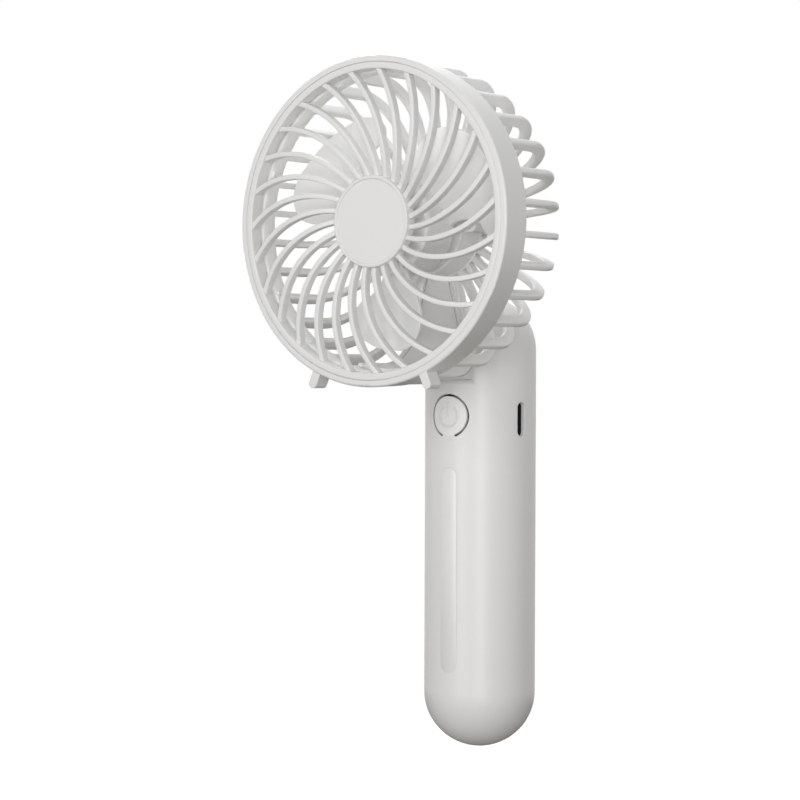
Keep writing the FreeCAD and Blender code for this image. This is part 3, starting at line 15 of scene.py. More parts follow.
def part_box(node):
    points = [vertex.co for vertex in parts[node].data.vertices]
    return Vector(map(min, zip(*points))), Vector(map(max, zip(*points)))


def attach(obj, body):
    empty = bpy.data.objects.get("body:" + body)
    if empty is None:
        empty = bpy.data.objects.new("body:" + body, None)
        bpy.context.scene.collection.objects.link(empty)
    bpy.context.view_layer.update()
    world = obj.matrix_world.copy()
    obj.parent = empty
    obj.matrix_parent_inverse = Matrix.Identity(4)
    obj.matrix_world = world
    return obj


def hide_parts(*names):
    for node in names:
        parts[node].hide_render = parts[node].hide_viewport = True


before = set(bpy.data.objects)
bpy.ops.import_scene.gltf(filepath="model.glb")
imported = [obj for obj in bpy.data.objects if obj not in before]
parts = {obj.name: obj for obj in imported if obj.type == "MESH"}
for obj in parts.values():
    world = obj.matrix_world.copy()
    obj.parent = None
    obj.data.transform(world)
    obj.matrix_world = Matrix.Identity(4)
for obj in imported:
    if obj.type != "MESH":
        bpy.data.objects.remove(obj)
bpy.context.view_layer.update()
MM = 0.001
print("parts in the frame:", len(parts))

# %% [markdown]
# ## The camera
#
# The photograph was taken with a long lens, so the ring's ellipse and the handle's sides hardly converge.
# The camera's place, heading and focal length were fitted to the ring's ellipse and the handle's outline.
# Blender takes a camera as a place and three axes: right, up, and backwards from what it looks at.

# %% Camera
SENSOR_WIDTH, FOCAL_PIXELS, PICTURE_PIXELS = 36, 2500, 800
CAMERA_PLACE = (437.728, -631.4, 46.063)
heading, pitch, roll = (math.radians(a) for a in (36.578, -0.687, 0.201))
ahead = Vector((-math.sin(heading) * math.cos(pitch), math.cos(heading) * math.cos(pitch), math.sin(pitch)))
level = Vector((math.cos(heading), math.sin(heading), 0))
upright = level.cross(ahead)
right = level * math.cos(roll) + upright * math.sin(roll)
up = upright * math.cos(roll) - level * math.sin(roll)
lens = bpy.data.cameras.new("portrait_lens")
lens.sensor_width = SENSOR_WIDTH
lens.lens = SENSOR_WIDTH * FOCAL_PIXELS / PICTURE_PIXELS
camera = bpy.data.objects.new("portrait_camera", lens)
axes = Matrix((right, up, -ahead)).transposed().to_4x4()
camera.matrix_world = Matrix.Translation(Vector(CAMERA_PLACE) * MM) @ axes
bpy.context.scene.collection.objects.link(camera)
bpy.context.scene.camera = camera
print("lens in mm:", round(lens.lens, 1))

# %% [markdown]
# ## Colours and nodes
#
# Colours are written as they look on a screen. Blender mixes light in linear values, so one function turns
# the screen values into those. A second small function adds a node, sets its options and links its inputs:
# every material below is made with it.

# %% Colour and node helpers
def screen_colour(code):
    channels = (int(code[i:i + 2], 16) / 255 for i in (1, 3, 5))
    return tuple(c / 12.92 if c <= 0.04045 else ((c + 0.055) / 1.055) ** 2.4 for c in channels) + (1.0,)


def add_node(material, kind, options=(), **inputs):
    """Adds a node. An input is a value, or another node's output to link.

    In an input's name underscores stand for spaces, and _6 is the socket with the index 6.
    """
    node = material.node_tree.nodes.new(kind)
    for option, value in dict(options).items():
        setattr(node, option, value)
    for name, value in inputs.items():
        socket = node.inputs[int(name[1:])] if name[1:].isdigit() else node.inputs[name.replace("_", " ")]
        if isinstance(value, bpy.types.NodeSocket):
            material.node_tree.links.new(value, socket)
        else:
            socket.default_value = value
    return node


def new_finish(name):
    material = bpy.data.materials.new(name)
    material.use_nodes = True
    material.node_tree.nodes.clear()
    print("finish:", name)
    return material


# %% [markdown]
# ## Moulded ABS
#
# The housing is ABS, moulded in a pale warm grey. Its mould was finely spark-eroded, so the skin is satin:
# a soft wide highlight and no mirror. Real edges of a moulding are never sharp, and the Bevel node rounds
# them for the light without changing the mesh. The erosion grain is about 0.05 mm, too fine to see from
# here, so it is drawn at 0.3 mm. Thick ABS also varies a little in tone, which a wide, weak noise gives.

# %% Moulded ABS
TONE_MM, GRAIN_MM, GRAIN_DEPTH_MM = 18, 0.3, 0.06


def moulded_abs(name, colour, shade, roughness, edge_mm):
    material = new_finish(name)
    place = add_node(material, "ShaderNodeTexCoord").outputs["Object"]
    tone = add_node(material, "ShaderNodeTexNoise", Vector=place, Scale=1 / (TONE_MM * MM), Detail=2.0)
    mix = add_node(
        material, "ShaderNodeMix", {"data_type": "RGBA"}, Factor=tone.outputs["Fac"],
        _6=screen_colour(colour), _7=screen_colour(shade),
    )
    grain = add_node(material, "ShaderNodeTexNoise", Vector=place, Scale=1 / (GRAIN_MM * MM), Detail=3.0)
    sheen = add_node(
        material, "ShaderNodeMapRange", Value=grain.outputs["Fac"],
        From_Min=0.3, From_Max=0.7, To_Min=roughness - 0.03, To_Max=roughness + 0.03,
    )
    rounded = add_node(material, "ShaderNodeBevel", {"samples": 6}, Radius=edge_mm * MM)
    bump = add_node(
        material, "ShaderNodeBump", Strength=0.12, Distance=GRAIN_DEPTH_MM * MM,
        Height=grain.outputs["Fac"], Normal=rounded.outputs["Normal"],
    )
    skin = add_node(
        material, "ShaderNodeBsdfPrincipled", Base_Color=mix.outputs[2], Roughness=sheen.outputs["Result"],
        Normal=bump.outputs["Normal"], IOR=1.54,
    )
    add_node(material, "ShaderNodeOutputMaterial", Surface=skin.outputs["BSDF"])
    return material


housing_abs = moulded_abs("moulded_abs_housing", "#EEEEED", "#ECECEB", 0.38, 0.35)
guard_abs = moulded_abs("moulded_abs_guard", "#EEEEED", "#ECECEB", 0.38, 0.3)
# The basket with its clips, and the blades, are the same plastic as the housing but get a lighter grey:
# painted light, lifting the shade that falls inside the head.
basket_abs_painted_light = moulded_abs("moulded_abs_basket_painted_light", "#F7F7F6", "#F5F5F4", 0.4, 0.3)
blade_abs_painted_light = moulded_abs("moulded_abs_blades_painted_light", "#F5F5F4", "#F3F3F2", 0.36, 0.3)
inlay_abs = moulded_abs("polished_abs_inlay", "#EFEFEE", "#EEEEED", 0.3, 0.1)
# The button and its mark get a lighter grey too: painted light against the shade that the head casts on them.
button_abs_painted_light = moulded_abs("moulded_abs_button_painted_light", "#F6F6F5", "#F4F4F3", 0.38, 0.3)

# %% [markdown]
# ## Finishes of what is inside
#
# Through the slots a little of the inside can be seen, and anyone who opens the fan sees the rest. Metals
# get their tint, a fine brushing across them, and a roughness to match. Rubber, laminate, sleeve and foam
# get their own grain.

# %% Metals
def brushed_metal(name, colour, shade, roughness, stretch, line_mm):
    material = new_finish(name)
    place = add_node(material, "ShaderNodeTexCoord").outputs["Object"]
    drawn = add_node(material, "ShaderNodeMapping", Vector=place, Scale=stretch)
    lines = add_node(
        material, "ShaderNodeTexNoise", Vector=drawn.outputs["Vector"], Scale=1 / (line_mm * MM), Detail=4.0
    )
    mix = add_node(
        material, "ShaderNodeMix", {"data_type": "RGBA"}, Factor=lines.outputs["Fac"],
        _6=screen_colour(colour), _7=screen_colour(shade),
    )
    bump = add_node(
        material, "ShaderNodeBump", Strength=0.15, Distance=0.02 * MM, Height=lines.outputs["Fac"]
    )
    skin = add_node(
        material, "ShaderNodeBsdfPrincipled", Base_Color=mix.outputs[2], Metallic=1.0, Roughness=roughness,
        Normal=bump.outputs["Normal"],
    )
    add_node(material, "ShaderNodeOutputMaterial", Surface=skin.outputs["BSDF"])
    return material


turned_steel = brushed_metal("turned_steel", "#B9BABB", "#A3A4A6", 0.3, (1, 0.1, 1), 0.2)
# The plated screws are tinted nearly white: painted light, so that they show no dark reflection of the fan's
# inside.
plated_screw_painted_light = brushed_metal("zinc_plated_screw_painted_light", "#E8E8E7", "#DCDCDB", 0.55, (1, 1, 1), 0.2)
drawn_can_steel = brushed_metal("drawn_can_steel", "#AEB0B1", "#9C9EA0", 0.35, (1, 0.15, 1), 0.3)
stacked_laminations = brushed_metal("stacked_laminations", "#7D7F83", "#55575B", 0.5, (0.05, 1, 0.05), 0.5)
# The socket shell's nickel is tinted nearly black: painted shade, so that the inside of the charging slot
# reads dark.
socket_nickel_painted_shade = brushed_metal("socket_shell_nickel_painted_shade", "#4A4B4E", "#3A3B3D", 0.45, (0.2, 1, 1), 0.2)
nickel_strip = brushed_metal("nickel_plated_strip", "#C9C5BC", "#B5B1A8", 0.28, (0.2, 1, 1), 0.2)
enamelled_copper = brushed_metal("enamelled_copper_wire", "#B4663A", "#8C4526", 0.32, (0.1, 1, 1), 0.35)
sintered_bronze = brushed_metal("sintered_bronze", "#A88350", "#8E6C40", 0.5, (1, 1, 1), 0.25)

# %% [markdown]
# The rest are dull or printed surfaces: ferrite, nylon, laminate, shrink sleeve, paper, foam and silicone.
# One recipe serves them, with its own colours, grain size and gloss for each.

# %% Dull and printed surfaces
def grained_surface(name, colour, shade, roughness, grain_mm, depth_mm):
    material = new_finish(name)
    place = add_node(material, "ShaderNodeTexCoord").outputs["Object"]
    grain = add_node(material, "ShaderNodeTexNoise", Vector=place, Scale=1 / (grain_mm * MM), Detail=4.0)
    mix = add_node(
        material, "ShaderNodeMix", {"data_type": "RGBA"}, Factor=grain.outputs["Fac"],
        _6=screen_colour(colour), _7=screen_colour(shade),
    )
    bump = add_node(
        material, "ShaderNodeBump", Strength=0.3, Distance=depth_mm * MM, Height=grain.outputs["Fac"]
    )
    skin = add_node(
        material, "ShaderNodeBsdfPrincipled", Base_Color=mix.outputs[2], Roughness=roughness,
        Normal=bump.outputs["Normal"], IOR=1.5,
    )
    add_node(material, "ShaderNodeOutputMaterial", Surface=skin.outputs["BSDF"])
    return material


sintered_ferrite = grained_surface("sintered_ferrite", "#34353A", "#26272B", 0.7, 0.4, 0.05)
moulded_nylon = grained_surface("moulded_black_nylon", "#242426", "#19191B", 0.5, 0.3, 0.03)
solder_mask = grained_surface("solder_masked_laminate", "#1F6B45", "#185839", 0.35, 1.2, 0.02)
shrink_sleeve = grained_surface("shrink_sleeve_blue", "#3B6FA3", "#356595", 0.28, 4.0, 0.03)
insulating_paper = grained_surface("insulating_paper", "#EDEBE0", "#DEDBCE", 0.8, 0.3, 0.04)
closed_cell_foam = grained_surface("closed_cell_foam", "#3A3A3D", "#28282A", 0.9, 0.6, 0.2)
silicone_red = grained_surface("silicone_lead_red", "#B5231C", "#9C1D17", 0.45, 1.0, 0.01)
silicone_black = grained_surface("silicone_lead_black", "#202021", "#171718", 0.45, 1.0, 0.01)
fired_ceramic = grained_surface("fired_ceramic", "#A88E67", "#97805B", 0.4, 0.5, 0.02)

# %% [markdown]
# ## Softened mouldings
#
# A moulding has no sharp edge: the mould's corners are rounded, and on this fan the ribs are so slim that
# their edges are most of what is seen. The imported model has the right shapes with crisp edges. The basket
# and the impeller could be modelled again, but their crisp meshes are exact already, so a copy of each is
# merged, its flat faces are joined, and the bevel operator rounds every edge that turns more sharply than a
# curved wall.

# %% Settle a finished shape in the fan
SHARP_TURN = math.radians(35)


def settle(name, shape, finish, slot, body, *replaced):
    """Makes a finished shape an object that rides on a body, in place of the parts named last."""
    for face in shape.faces:
        face.smooth = True
    mesh = bpy.data.meshes.new(name)
    shape.to_mesh(mesh)
    shape.free()
    mesh.set_sharp_from_angle(angle=SHARP_TURN)
    mesh.materials.append(finish)
    piece = bpy.data.objects.new(name, mesh)
    bpy.context.scene.collection.objects.link(piece)
    if replaced:
        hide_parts(*replaced)
    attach(piece, body)
    print(name, "faces:", len(mesh.polygons))


# %% Softened copies of the mouldings
MERGE_GAP, FLAT_TURN = 0.002 * MM, math.radians(0.5)
BASKET_EDGE, BLADE_EDGE = 0.6 * MM, 0.4 * MM


def merged_copy(node):
    shape = bmesh.new()
    shape.from_mesh(parts[node].data)
    bmesh.ops.remove_doubles(shape, verts=shape.verts, dist=MERGE_GAP)
    bmesh.ops.dissolve_limit(shape, angle_limit=FLAT_TURN, verts=shape.verts, edges=shape.edges)
    return shape


def round_edges(shape, radius, turn=30, segments=3):
    crisp = [edge for edge in shape.edges if edge.is_manifold and edge.calc_face_angle() > math.radians(turn)]
    bmesh.ops.bevel(
        shape, geom=crisp, offset=radius, offset_type="OFFSET", segments=segments, affect="EDGES",
        profile=0.5, material=-1,
    )
    return shape


settle(
    "soft_rear_basket", round_edges(merged_copy("rear_basket"), BASKET_EDGE), basket_abs_painted_light, "shell_white",
    "fan_body", "rear_basket",
)
settle(
    "soft_impeller", round_edges(merged_copy("impeller"), BLADE_EDGE), blade_abs_painted_light, "impeller_white",
    "impeller", "impeller",
)

# %% [markdown]
# ## The front grille
#
# The grille is one moulding: a hub, twenty-seven slim ribs that sweep outwards and bow forwards, and a
# bezel. A rib could be a curve with a bevel, but a curve twists its section. Here each rib starts as a
# straight bar with rounded long edges, is cut across at many places, and is then bent: each point moves to
# the place that the rib's path gives for its distance along the bar. Lengths are in millimetres, seen from
# the front: x to the right, y up and z towards the viewer, and one matrix stands the finished grille up in
# the fan.

# %% Bend a bar onto a rib's path
HUB, BORE = 13.3, 44.0
RIB_WIDTH, RIB_DEPTH, RIBS = 1.5, 2.6, 27
RIB_ROOT, RIB_EDGE, RIB_SLICES = 0.8, 0.25, 24
RIB_START, RIB_RUN = 14, 30
# The sweep in degrees and the bow in millimetres, each as the factors of a curve along the rib.
RIB_SWEEP = (-8.2033, 23.9779, 4.1204, -0.8377)
RIB_BOW = (-0.56, -0.385, 2.025)
TIP_START, TIP_RUN, TIP_TURN, TIP_RISE = 30, 14, 0.8, 0.6
HEAD_HEIGHT, BEZEL_FRONT = 89, -57
upright_head = Matrix.Translation((0, BEZEL_FRONT, HEAD_HEIGHT)) @ Matrix.Rotation(math.radians(90), 4, "X")
head_place = Matrix.Scale(MM, 4) @ upright_head


def on_rib(point):
    """The place on the swept and bowed rib for a point of the straight bar."""
    t = (point.x - RIB_START) / RIB_RUN
    tip = max(0, (point.x - TIP_START) / TIP_RUN) ** 2
    first, slope, curl, twist = RIB_SWEEP
    angle = math.radians(first + t * (slope + t * (curl + twist * t)) + TIP_TURN * tip)
    turn = math.radians(slope + t * (2 * curl + 3 * twist * t)) / RIB_RUN
    along = Vector((1, point.x * turn)).normalized()
    outward = point.x - point.y * along.y
    sideways = point.y * along.x
    u = 2 * (point.x - HUB) / (BORE - HUB) - 1
    middle, tilt, bow = RIB_BOW
    depth = middle + tilt * u + bow * u * u - TIP_RISE * tip
    return Vector((
        outward * math.cos(angle) - sideways * math.sin(angle),
        outward * math.sin(angle) + sideways * math.cos(angle),
        point.z - depth,
    ))


# %% Ribs
grille = bmesh.new()
bmesh.ops.create_cube(grille, size=1)
start, end = HUB - RIB_ROOT, BORE + RIB_ROOT
bmesh.ops.scale(grille, vec=(end - start, RIB_WIDTH, RIB_DEPTH), verts=grille.verts)
bmesh.ops.translate(grille, vec=((start + end) / 2, 0, -RIB_DEPTH / 2), verts=grille.verts)
long_edges = [edge for edge in grille.edges if edge.calc_length() > RIB_DEPTH + 1]
bmesh.ops.bevel(
    grille, geom=long_edges, offset=RIB_EDGE, offset_type="OFFSET", segments=3, affect="EDGES", profile=0.5,
    material=-1,
)
for cut in range(1, RIB_SLICES):
    bmesh.ops.bisect_plane(
        grille, geom=grille.verts[:] + grille.edges[:] + grille.faces[:],
        plane_co=(start + (end - start) * cut / RIB_SLICES, 0, 0), plane_no=(1, 0, 0),
    )
for vert in grille.verts:
    vert.co = on_rib(vert.co)
bmesh.ops.spin(
    grille, geom=grille.verts[:] + grille.edges[:] + grille.faces[:], cent=(0, 0, 0), axis=(0, 0, 1),
    angle=math.tau * (RIBS - 1) / RIBS, steps=RIBS - 1, use_duplicate=True,
)
print("rib faces:", len(grille.faces))

# %% [markdown]
# The hub and the bezel are turned shapes. A section of a few points, as radius and height, is spun all the
# way round the fan's axis, and then its corners are rounded as a mould's are.

# %% Hub and bezel
def turned(section, radius, steps=128):
    """Spins a closed section of (radius, height) points about z, and rounds its corners."""
    shape = bmesh.new()
    corners = [shape.verts.new((r, 0, z)) for r, z in section]
    edges = [shape.edges.new((a, b)) for a, b in zip(corners, corners[1:] + corners[:1])]
    bmesh.ops.spin(
        shape, geom=corners + edges, cent=(0, 0, 0), axis=(0, 0, 1), angle=math.tau, steps=steps,
        use_merge=True,
    )
    bmesh.ops.remove_doubles(shape, verts=shape.verts, dist=0.001)
    bmesh.ops.recalc_face_normals(shape, faces=shape.faces)
    return round_edges(shape, radius)


def add_shape(target, shape):
    mesh = bpy.data.meshes.new("added_shape")
    shape.to_mesh(mesh)
    shape.free()
    target.from_mesh(mesh)
    bpy.data.meshes.remove(mesh)


HUB_EDGE, BEZEL_EDGE, BEZEL_STEPS = 0.18, 0.25, 192
hub_section = [
    (0.4, -1.55), (12.3, -1.55), (12.3, -0.6), (HUB, -0.6),
    (HUB, -4.4), (11.9, -4.4), (11.9, -2.95), (0.4, -2.95),
]
bezel_section = [(BORE, 0.0), (46.0, 0.0), (46.0, -4.1), (BORE, -4.1)]
add_shape(grille, turned(hub_section, HUB_EDGE))
add_shape(grille, turned(bezel_section, BEZEL_EDGE, BEZEL_STEPS))
bmesh.ops.recalc_face_normals(grille, faces=grille.faces)
bmesh.ops.transform(grille, matrix=head_place, verts=grille.verts)
settle("soft_front_grille", grille, guard_abs, "grille_white", "fan_body", "front_grille")

# %% [markdown]
# ## The strip and the power mark
#
# The strip in the handle's front is so well fitted that its seam is a hair line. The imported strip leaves
# 0.1 mm all round, so a copy of it is widened by 0.12 mm on each side, which takes its edge 0.02 mm into
# the wall of the recess. The mark on the button is the usual sign for power, a ring open at the top with
# a bar in the gap, raised by less than a tenth of a millimetre. It is drawn flat and then laid on the
# round handle.

# %% Strip
strip = merged_copy("handle_strip")
low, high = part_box("handle_strip")
middle = (Vector(low) + Vector(high)) / 2
STRIP_WIDTH, STRIP_LENGTH, FITTED_WIDTH, FITTED_LENGTH = 5.7, 61.8, 5.94, 62.04
grow = Matrix.Diagonal((FITTED_WIDTH / STRIP_WIDTH, 1, FITTED_LENGTH / STRIP_LENGTH, 1))
bmesh.ops.transform(
    strip, matrix=Matrix.Translation(middle) @ grow @ Matrix.Translation(-middle), verts=strip.verts
)
STRIP_EDGE = 0.06 * MM
soft_strip = round_edges(strip, STRIP_EDGE, turn=60, segments=2)
settle("fitted_strip", soft_strip, inlay_abs, "strip_white", "fan_body", "handle_strip")

# %% Power mark
HANDLE_RADIUS, BUTTON_HEIGHT = 17.0, 32.25
MARK_RADIUS, MARK_STROKE, MARK_THICKNESS, MARK_GAP = 3.15, 0.7, 0.14, 70
MARK_BAR, MARK_BAR_MIDDLE, MARK_EDGE = 4.4, 2.1, 0.06


def bar(size, centre, radius):
    """A block with rounded edges."""
    shape = bmesh.new()
    bmesh.ops.create_cube(shape, size=1)
    bmesh.ops.scale(shape, vec=size, verts=shape.verts)
    round_edges(shape, radius)
    bmesh.ops.translate(shape, vec=centre, verts=shape.verts)
    return shape


def lay_on_handle(shape):
    """Cuts a flat shape into narrow strips across, and wraps it on the handle, level with the button."""
    for cut in range(-3, 4):
        bmesh.ops.bisect_plane(
            shape, geom=shape.verts[:] + shape.edges[:] + shape.faces[:], plane_co=(cut, 0, 0),
            plane_no=(1, 0, 0),
        )
    for vert in shape.verts:
        flat = vert.co.copy()
        out = math.sqrt(HANDLE_RADIUS ** 2 - flat.x ** 2) + flat.z
        vert.co = Vector((flat.x, -out, BUTTON_HEIGHT + flat.y)) * MM
    bmesh.ops.recalc_face_normals(shape, faces=shape.faces)


mark = bmesh.new()
on_edge = Matrix.Rotation(math.radians(90), 3, "X")
past_gap = Matrix.Rotation(math.radians(90 + MARK_GAP / 2), 3, "Z")
bmesh.ops.create_circle(mark, cap_ends=True, segments=12, radius=1)
bmesh.ops.scale(mark, vec=(MARK_STROKE / 2, MARK_THICKNESS / 2, 1), verts=mark.verts)
bmesh.ops.rotate(mark, cent=(0, 0, 0), matrix=on_edge, verts=mark.verts)
bmesh.ops.translate(mark, vec=(MARK_RADIUS, 0, 0), verts=mark.verts)
bmesh.ops.rotate(mark, cent=(0, 0, 0), matrix=past_gap, verts=mark.verts)
bmesh.ops.spin(
    mark, geom=mark.verts[:] + mark.edges[:] + mark.faces[:], cent=(0, 0, 0), axis=(0, 0, 1),
    angle=math.radians(360 - MARK_GAP), steps=48,
)
add_shape(mark, bar((MARK_STROKE, MARK_BAR, MARK_THICKNESS), (0, MARK_BAR_MIDDLE, 0), MARK_EDGE))
lay_on_handle(mark)
settle("power_mark", mark, button_abs_painted_light, "grille_white", "button")

# %% [markdown]
# The button hangs on a living hinge, where its tab thins out and runs on into the handle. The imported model
# keeps them apart by a hair, so a film of the same plastic is laid over the line between them.

# %% Hinge film
FILM_SIZE, FILM_EDGE, FILM_DROP = (4.7, 1.5, 0.02), 0.004, 6.7
film_abs = moulded_abs("moulded_abs_hinge_film", "#EEEEED", "#ECECEB", 0.38, 0.0)
film = bar(FILM_SIZE, (0, -FILM_DROP, 0), FILM_EDGE)
lay_on_handle(film)
settle("hinge_film", film, film_abs, "shell_white", "fan_body")

# %% [markdown]
# A black gasket lines the inner half of the charging slot; its black is painted shade, the dark deep inside
# the slot. It is an open
# # round-ended tube, drawn upright and then turned to lie along the slot.

# %% Slot gasket
GASKET_RADIUS, GASKET_STRAIGHT, GASKET_DEPTH, GASKET_WALL = 1.53, 7.2, 1.35, 0.2
SLOT_DROP = 1
GASKET_INNER_END = (14.4, -2.6, BUTTON_HEIGHT - SLOT_DROP)
gasket = bmesh.new()
bmesh.ops.create_circle(gasket, segments=26, radius=GASKET_RADIUS)
for vert in gasket.verts:
    vert.co.y += math.copysign(GASKET_STRAIGHT / 2, vert.co.y)
wall = bmesh.ops.extrude_edge_only(gasket, edges=gasket.edges[:])["geom"]
outer_rim = [item for item in wall if isinstance(item, bmesh.types.BMVert)]
bmesh.ops.translate(gasket, vec=(0, 0, GASKET_DEPTH), verts=outer_rim)
bmesh.ops.solidify(gasket, geom=gasket.faces[:], thickness=GASKET_WALL)
bmesh.ops.recalc_face_normals(gasket, faces=gasket.faces)
lying = Matrix(((0, 0, 1, 0), (1, 0, 0, 0), (0, 1, 0, 0), (0, 0, 0, 1)))
gasket_place = Matrix.Scale(MM, 4) @ Matrix.Translation(GASKET_INNER_END) @ lying
bmesh.ops.transform(gasket, matrix=gasket_place, verts=gasket.verts)
# The gasket's black stands in for the shade inside the slot: painted shade.
settle("slot_gasket_painted_shade", gasket, moulded_nylon, "black_nylon", "fan_body")

# %% [markdown]
# ## Neck cover
#
# Inside the neck a cover hides the wires, and its two long seams show as dark hair lines between the ribs.
# A copy of the cover is spread a little about the fan's axis, and a narrow slice is taken out along each
# seam.

# %% Neck cover
SEAM_ANGLE, SEAM_WIDTH, COVER_SPREAD = math.radians(14), 0.3 * MM, 1.04
# The cover gets the basket's lighter grey: painted light, lifting the shade deep in the neck.
cover_abs_painted_light = moulded_abs("moulded_abs_neck_cover_painted_light", "#F7F7F6", "#F5F5F4", 0.4, 0.1)
hub_point = Vector((0, 0, HEAD_HEIGHT)) * MM
cover = merged_copy("wire_cover")
for vert in cover.verts:
    arm = vert.co - hub_point
    spread = Matrix.Rotation(math.atan2(arm.x, -arm.z) * (1 - COVER_SPREAD), 4, "Y")
    vert.co = hub_point + spread @ arm
for side in (-1, 1):
    across = Vector((math.cos(SEAM_ANGLE), 0, side * math.sin(SEAM_ANGLE)))
    for edge in (-SEAM_WIDTH / 2, SEAM_WIDTH / 2):
        bmesh.ops.bisect_plane(
            cover, geom=cover.verts[:] + cover.edges[:] + cover.faces[:], plane_co=hub_point + across * edge,
            plane_no=across,
        )
    offsets = {face: (face.calc_center_median() - hub_point).dot(across) for face in cover.faces}
    # A face is in the slice if its middle is. The limit is a hair under half the width, so that a face
    # which only touches a cut stays.
    in_seam = [face for face, offset in offsets.items() if abs(offset) < SEAM_WIDTH * 0.49]
    bmesh.ops.delete(cover, geom=in_seam, context="FACES")
    bmesh.ops.holes_fill(cover, edges=[edge for edge in cover.edges if edge.is_boundary])
bmesh.ops.recalc_face_normals(cover, faces=cover.faces)
settle("seamed_wire_cover", cover, cover_abs_painted_light, "grille_white", "fan_body", "wire_cover")

# %% [markdown]
# ## Snap clips
#
# The grille's bezel and the rim behind it are held by small snap clips round the rim's bore, and the
# nearest ones can be seen between the ribs. Each is a rounded block on the bore with a smaller catch behind
# it.

# %% Snap clips
CLIP_ANGLES = (28, 68, 111, 159, 207, 232, 283, 332)
CLIP_SIZE, CLIP_PLACE = (0.9, 1.9, 1.2), (43.4, 0, -6.2)
CATCH_SIZE, CATCH_PLACE = (0.6, 1.2, 1.3), (43.5, 0, -7.9)
CLIP_EDGE = 0.2
clips = bmesh.new()
for angle in CLIP_ANGLES:
    clip = bar(CLIP_SIZE, CLIP_PLACE, CLIP_EDGE)
    add_shape(clip, bar(CATCH_SIZE, CATCH_PLACE, CLIP_EDGE))
    round_the_axis = Matrix.Rotation(math.radians(angle), 3, "Z")
    bmesh.ops.rotate(clip, cent=(0, 0, 0), matrix=round_the_axis, verts=clip.verts)
    add_shape(clips, clip)
bmesh.ops.recalc_face_normals(clips, faces=clips.faces)
bmesh.ops.transform(clips, matrix=head_place, verts=clips.verts)
settle("rim_clips", clips, basket_abs_painted_light, "shell_white", "fan_body")

# %% [markdown]
# ## A finish for each part
#
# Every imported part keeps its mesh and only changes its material. Giving each one its finish by hand would be
# a long list of calls, so one table names the parts that share a finish. The parts that were replaced above
# are in it too, so that none is left with the plain material it came with.

# %% Finish for each part
finishes = {
    housing_abs: ("front_ring", "handle_shell", "back_cover"),
    guard_abs: ("front_grille",),
    basket_abs_painted_light: ("rear_basket", "wire_cover", "motor_retainer"),
    blade_abs_painted_light: ("impeller",),
    inlay_abs: ("hub_disc", "handle_strip"),
    button_abs_painted_light: ("power_button",),
    turned_steel: ("motor_shaft", "board_screws", "neck_screws"),
    plated_screw_painted_light: ("retainer_screws",),
    drawn_can_steel: ("motor_can", "neck_plate"),
    stacked_laminations: ("armature_core",),
    nickel_strip: ("battery_tabs",),
    socket_nickel_painted_shade: ("socket_shell",),
    enamelled_copper: ("armature_windings", "commutator", "motor_brushes"),
    sintered_bronze: ("front_bush",),
    sintered_ferrite: ("motor_magnets",),
    moulded_nylon: (
        "motor_end_cap", "switch_body", "switch_plunger", "controller_chip", "choke", "socket_tongue",
    ),
    solder_mask: ("main_board",),
    shrink_sleeve: ("battery_cell",),
    insulating_paper: ("battery_rings",),
    closed_cell_foam: ("battery_pad",),
    silicone_red: ("battery_leads",),
    silicone_black: ("motor_leads",),
    fired_ceramic: ("capacitors",),
}
for finish, names in finishes.items():
    for name in names:
        parts[name].data.materials.clear()
        parts[name].data.materials.append(finish)
print("finished parts:", sum(len(names) for names in finishes.values()), "of", len(parts))

# %% [markdown]
# ## Light, floor and background
#
# The product stands in a white studio. A tall soft box straight in front of the fan gives the broad
# highlight down the handle, one behind the camera reaches what lies behind the ribs, and two high up
# behind the fan lighten the top of the ring and the handle's dome without touching the front. The room
# glows at eye level and much less overhead, so the sides stay light. The camera, reflections and clear
# things see it white all round.

# %% Lamps
AIM = (0, 0, 30)


def soft_box(name, place_mm, size_mm, watts):
    lamp = bpy.data.lights.new(name, "AREA")
    lamp.shape = "RECTANGLE"
    lamp.size, lamp.size_y = (side * MM for side in size_mm)
    lamp.energy = watts
    box = bpy.data.objects.new(name, lamp)
    place, aim = Vector(place_mm) * MM, Vector(AIM) * MM
    turn = (place - aim).to_track_quat("Z", "Y").to_matrix().to_4x4()
    box.matrix_world = Matrix.Translation(place) @ turn
    bpy.context.scene.collection.objects.link(box)
    print(name, "watts:", watts)


soft_box("key_box", (-40, -1200, 200), (350, 900), 3.9)
soft_box("fill_box", (715, -963, 100), (350, 900), 5.2)
soft_box("back_left_box", (-600, 500, 900), (700, 700), 9.0)
soft_box("top_box", (100, 500, 1000), (900, 700), 3.0)

# %% World
world = bpy.data.worlds.new("white_studio")
bpy.context.scene.world = world
world.use_nodes = True
world.node_tree.nodes.clear()
ray = add_node(world, "ShaderNodeLightPath")
mirrored = add_node(
    world, "ShaderNodeMath", {"operation": "MAXIMUM"}, _0=ray.outputs["Is Glossy Ray"],
    _1=ray.outputs["Is Transmission Ray"],
)
seen = add_node(
    world, "ShaderNodeMath", {"operation": "MAXIMUM"}, _0=ray.outputs["Is Camera Ray"],
    _1=mirrored.outputs["Value"],
)
direction = add_node(
    world, "ShaderNodeSeparateXYZ", Vector=add_node(world, "ShaderNodeTexCoord").outputs["Generated"]
)
eye_level = add_node(
    world, "ShaderNodeMapRange", Value=direction.outputs["Z"], From_Min=-0.1, From_Max=0.35,
    To_Min=0.7, To_Max=0.2,
)
strength = add_node(
    world, "ShaderNodeMath", {"operation": "MAXIMUM"}, _0=seen.outputs["Value"],
    _1=eye_level.outputs["Result"],
)
sky = add_node(world, "ShaderNodeBackground", Color=(1, 1, 1, 1), Strength=strength.outputs["Value"])
add_node(world, "ShaderNodeOutputWorld", Surface=sky.outputs["Background"])
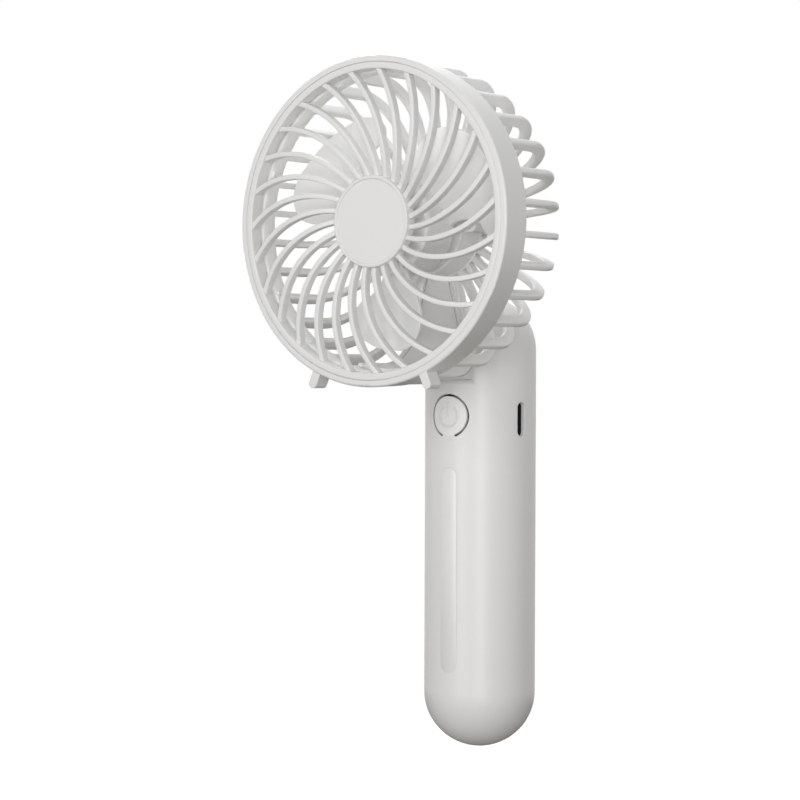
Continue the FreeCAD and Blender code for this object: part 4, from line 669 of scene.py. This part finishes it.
print("world nodes:", len(world.node_tree.nodes))

# %% [markdown]
# The fan is shown upright with nothing under it in the picture, so the floor lies below the view. It is
# pale card that catches the fan's shadow. A glow, for the camera alone, lifts the lit card to the
# background's white, most far out where the lamps fade, and leaves the shadow a pale grey. What the card
# sends back up is kept low and a little warm, as the photograph's shaded sides are, and from underneath it
# is clear, so the fan can be looked at from below.

# %% Floor
FLOOR_DEPTH, FLOOR_HALF, GLOW_NEAR, GLOW_FAR = 320, 1.5, 0.4, 1.2
floor_card = new_finish("pale_studio_card")
sight = add_node(floor_card, "ShaderNodeLightPath").outputs["Is Camera Ray"]
fibre = add_node(
    floor_card, "ShaderNodeTexNoise", Vector=add_node(floor_card, "ShaderNodeTexCoord").outputs["Object"],
    Scale=1 / (2 * MM), Detail=3.0,
)
card_tone = add_node(
    floor_card, "ShaderNodeMix", {"data_type": "RGBA"}, Factor=fibre.outputs["Fac"],
    _6=screen_colour("#F4F4F3"), _7=screen_colour("#EFEFEE"),
)
sent_back = add_node(
    floor_card, "ShaderNodeMix", {"data_type": "RGBA"}, Factor=sight, _6=screen_colour("#736D67"),
    _7=card_tone.outputs[2],
)
card = add_node(floor_card, "ShaderNodeBsdfDiffuse", Color=sent_back.outputs[2])
distance = add_node(
    floor_card, "ShaderNodeVectorMath", {"operation": "LENGTH"},
    _0=add_node(floor_card, "ShaderNodeTexCoord").outputs["Object"],
)
faded = add_node(
    floor_card, "ShaderNodeMapRange", Value=distance.outputs["Value"], From_Min=GLOW_NEAR, From_Max=GLOW_FAR,
    To_Min=0.12, To_Max=1.0,
)
glow_level = add_node(
    floor_card, "ShaderNodeMath", {"operation": "MULTIPLY"}, _0=sight, _1=faded.outputs["Result"],
)
glow = add_node(floor_card, "ShaderNodeEmission", Color=(1, 1, 1, 1), Strength=glow_level.outputs["Value"])
lit_card = add_node(floor_card, "ShaderNodeAddShader", _0=card.outputs["BSDF"], _1=glow.outputs["Emission"])
from_below = add_node(
    floor_card, "ShaderNodeMixShader", _0=add_node(floor_card, "ShaderNodeNewGeometry").outputs["Backfacing"],
    _1=lit_card.outputs["Shader"], _2=add_node(floor_card, "ShaderNodeBsdfTransparent").outputs["BSDF"],
)
add_node(floor_card, "ShaderNodeOutputMaterial", Surface=from_below.outputs["Shader"])
sheet = bmesh.new()
bmesh.ops.create_grid(sheet, x_segments=1, y_segments=1, size=FLOOR_HALF)
bmesh.ops.translate(sheet, verts=sheet.verts, vec=(0, 0, -FLOOR_DEPTH * MM))
floor_mesh = bpy.data.meshes.new("studio_floor")
sheet.to_mesh(floor_mesh)
sheet.free()
floor_mesh.materials.append(floor_card)
floor = bpy.data.objects.new("studio_floor", floor_mesh)
bpy.context.scene.collection.objects.link(floor)
print("floor height in mm:", round(floor_mesh.vertices[0].co.z / MM, 1))

# %% [markdown]
# The colours above are written as they look on a screen, so the picture is shown without a film-like curve.

# %% Picture
bpy.context.scene.view_settings.view_transform = "Standard"
print("view transform:", bpy.context.scene.view_settings.view_transform)
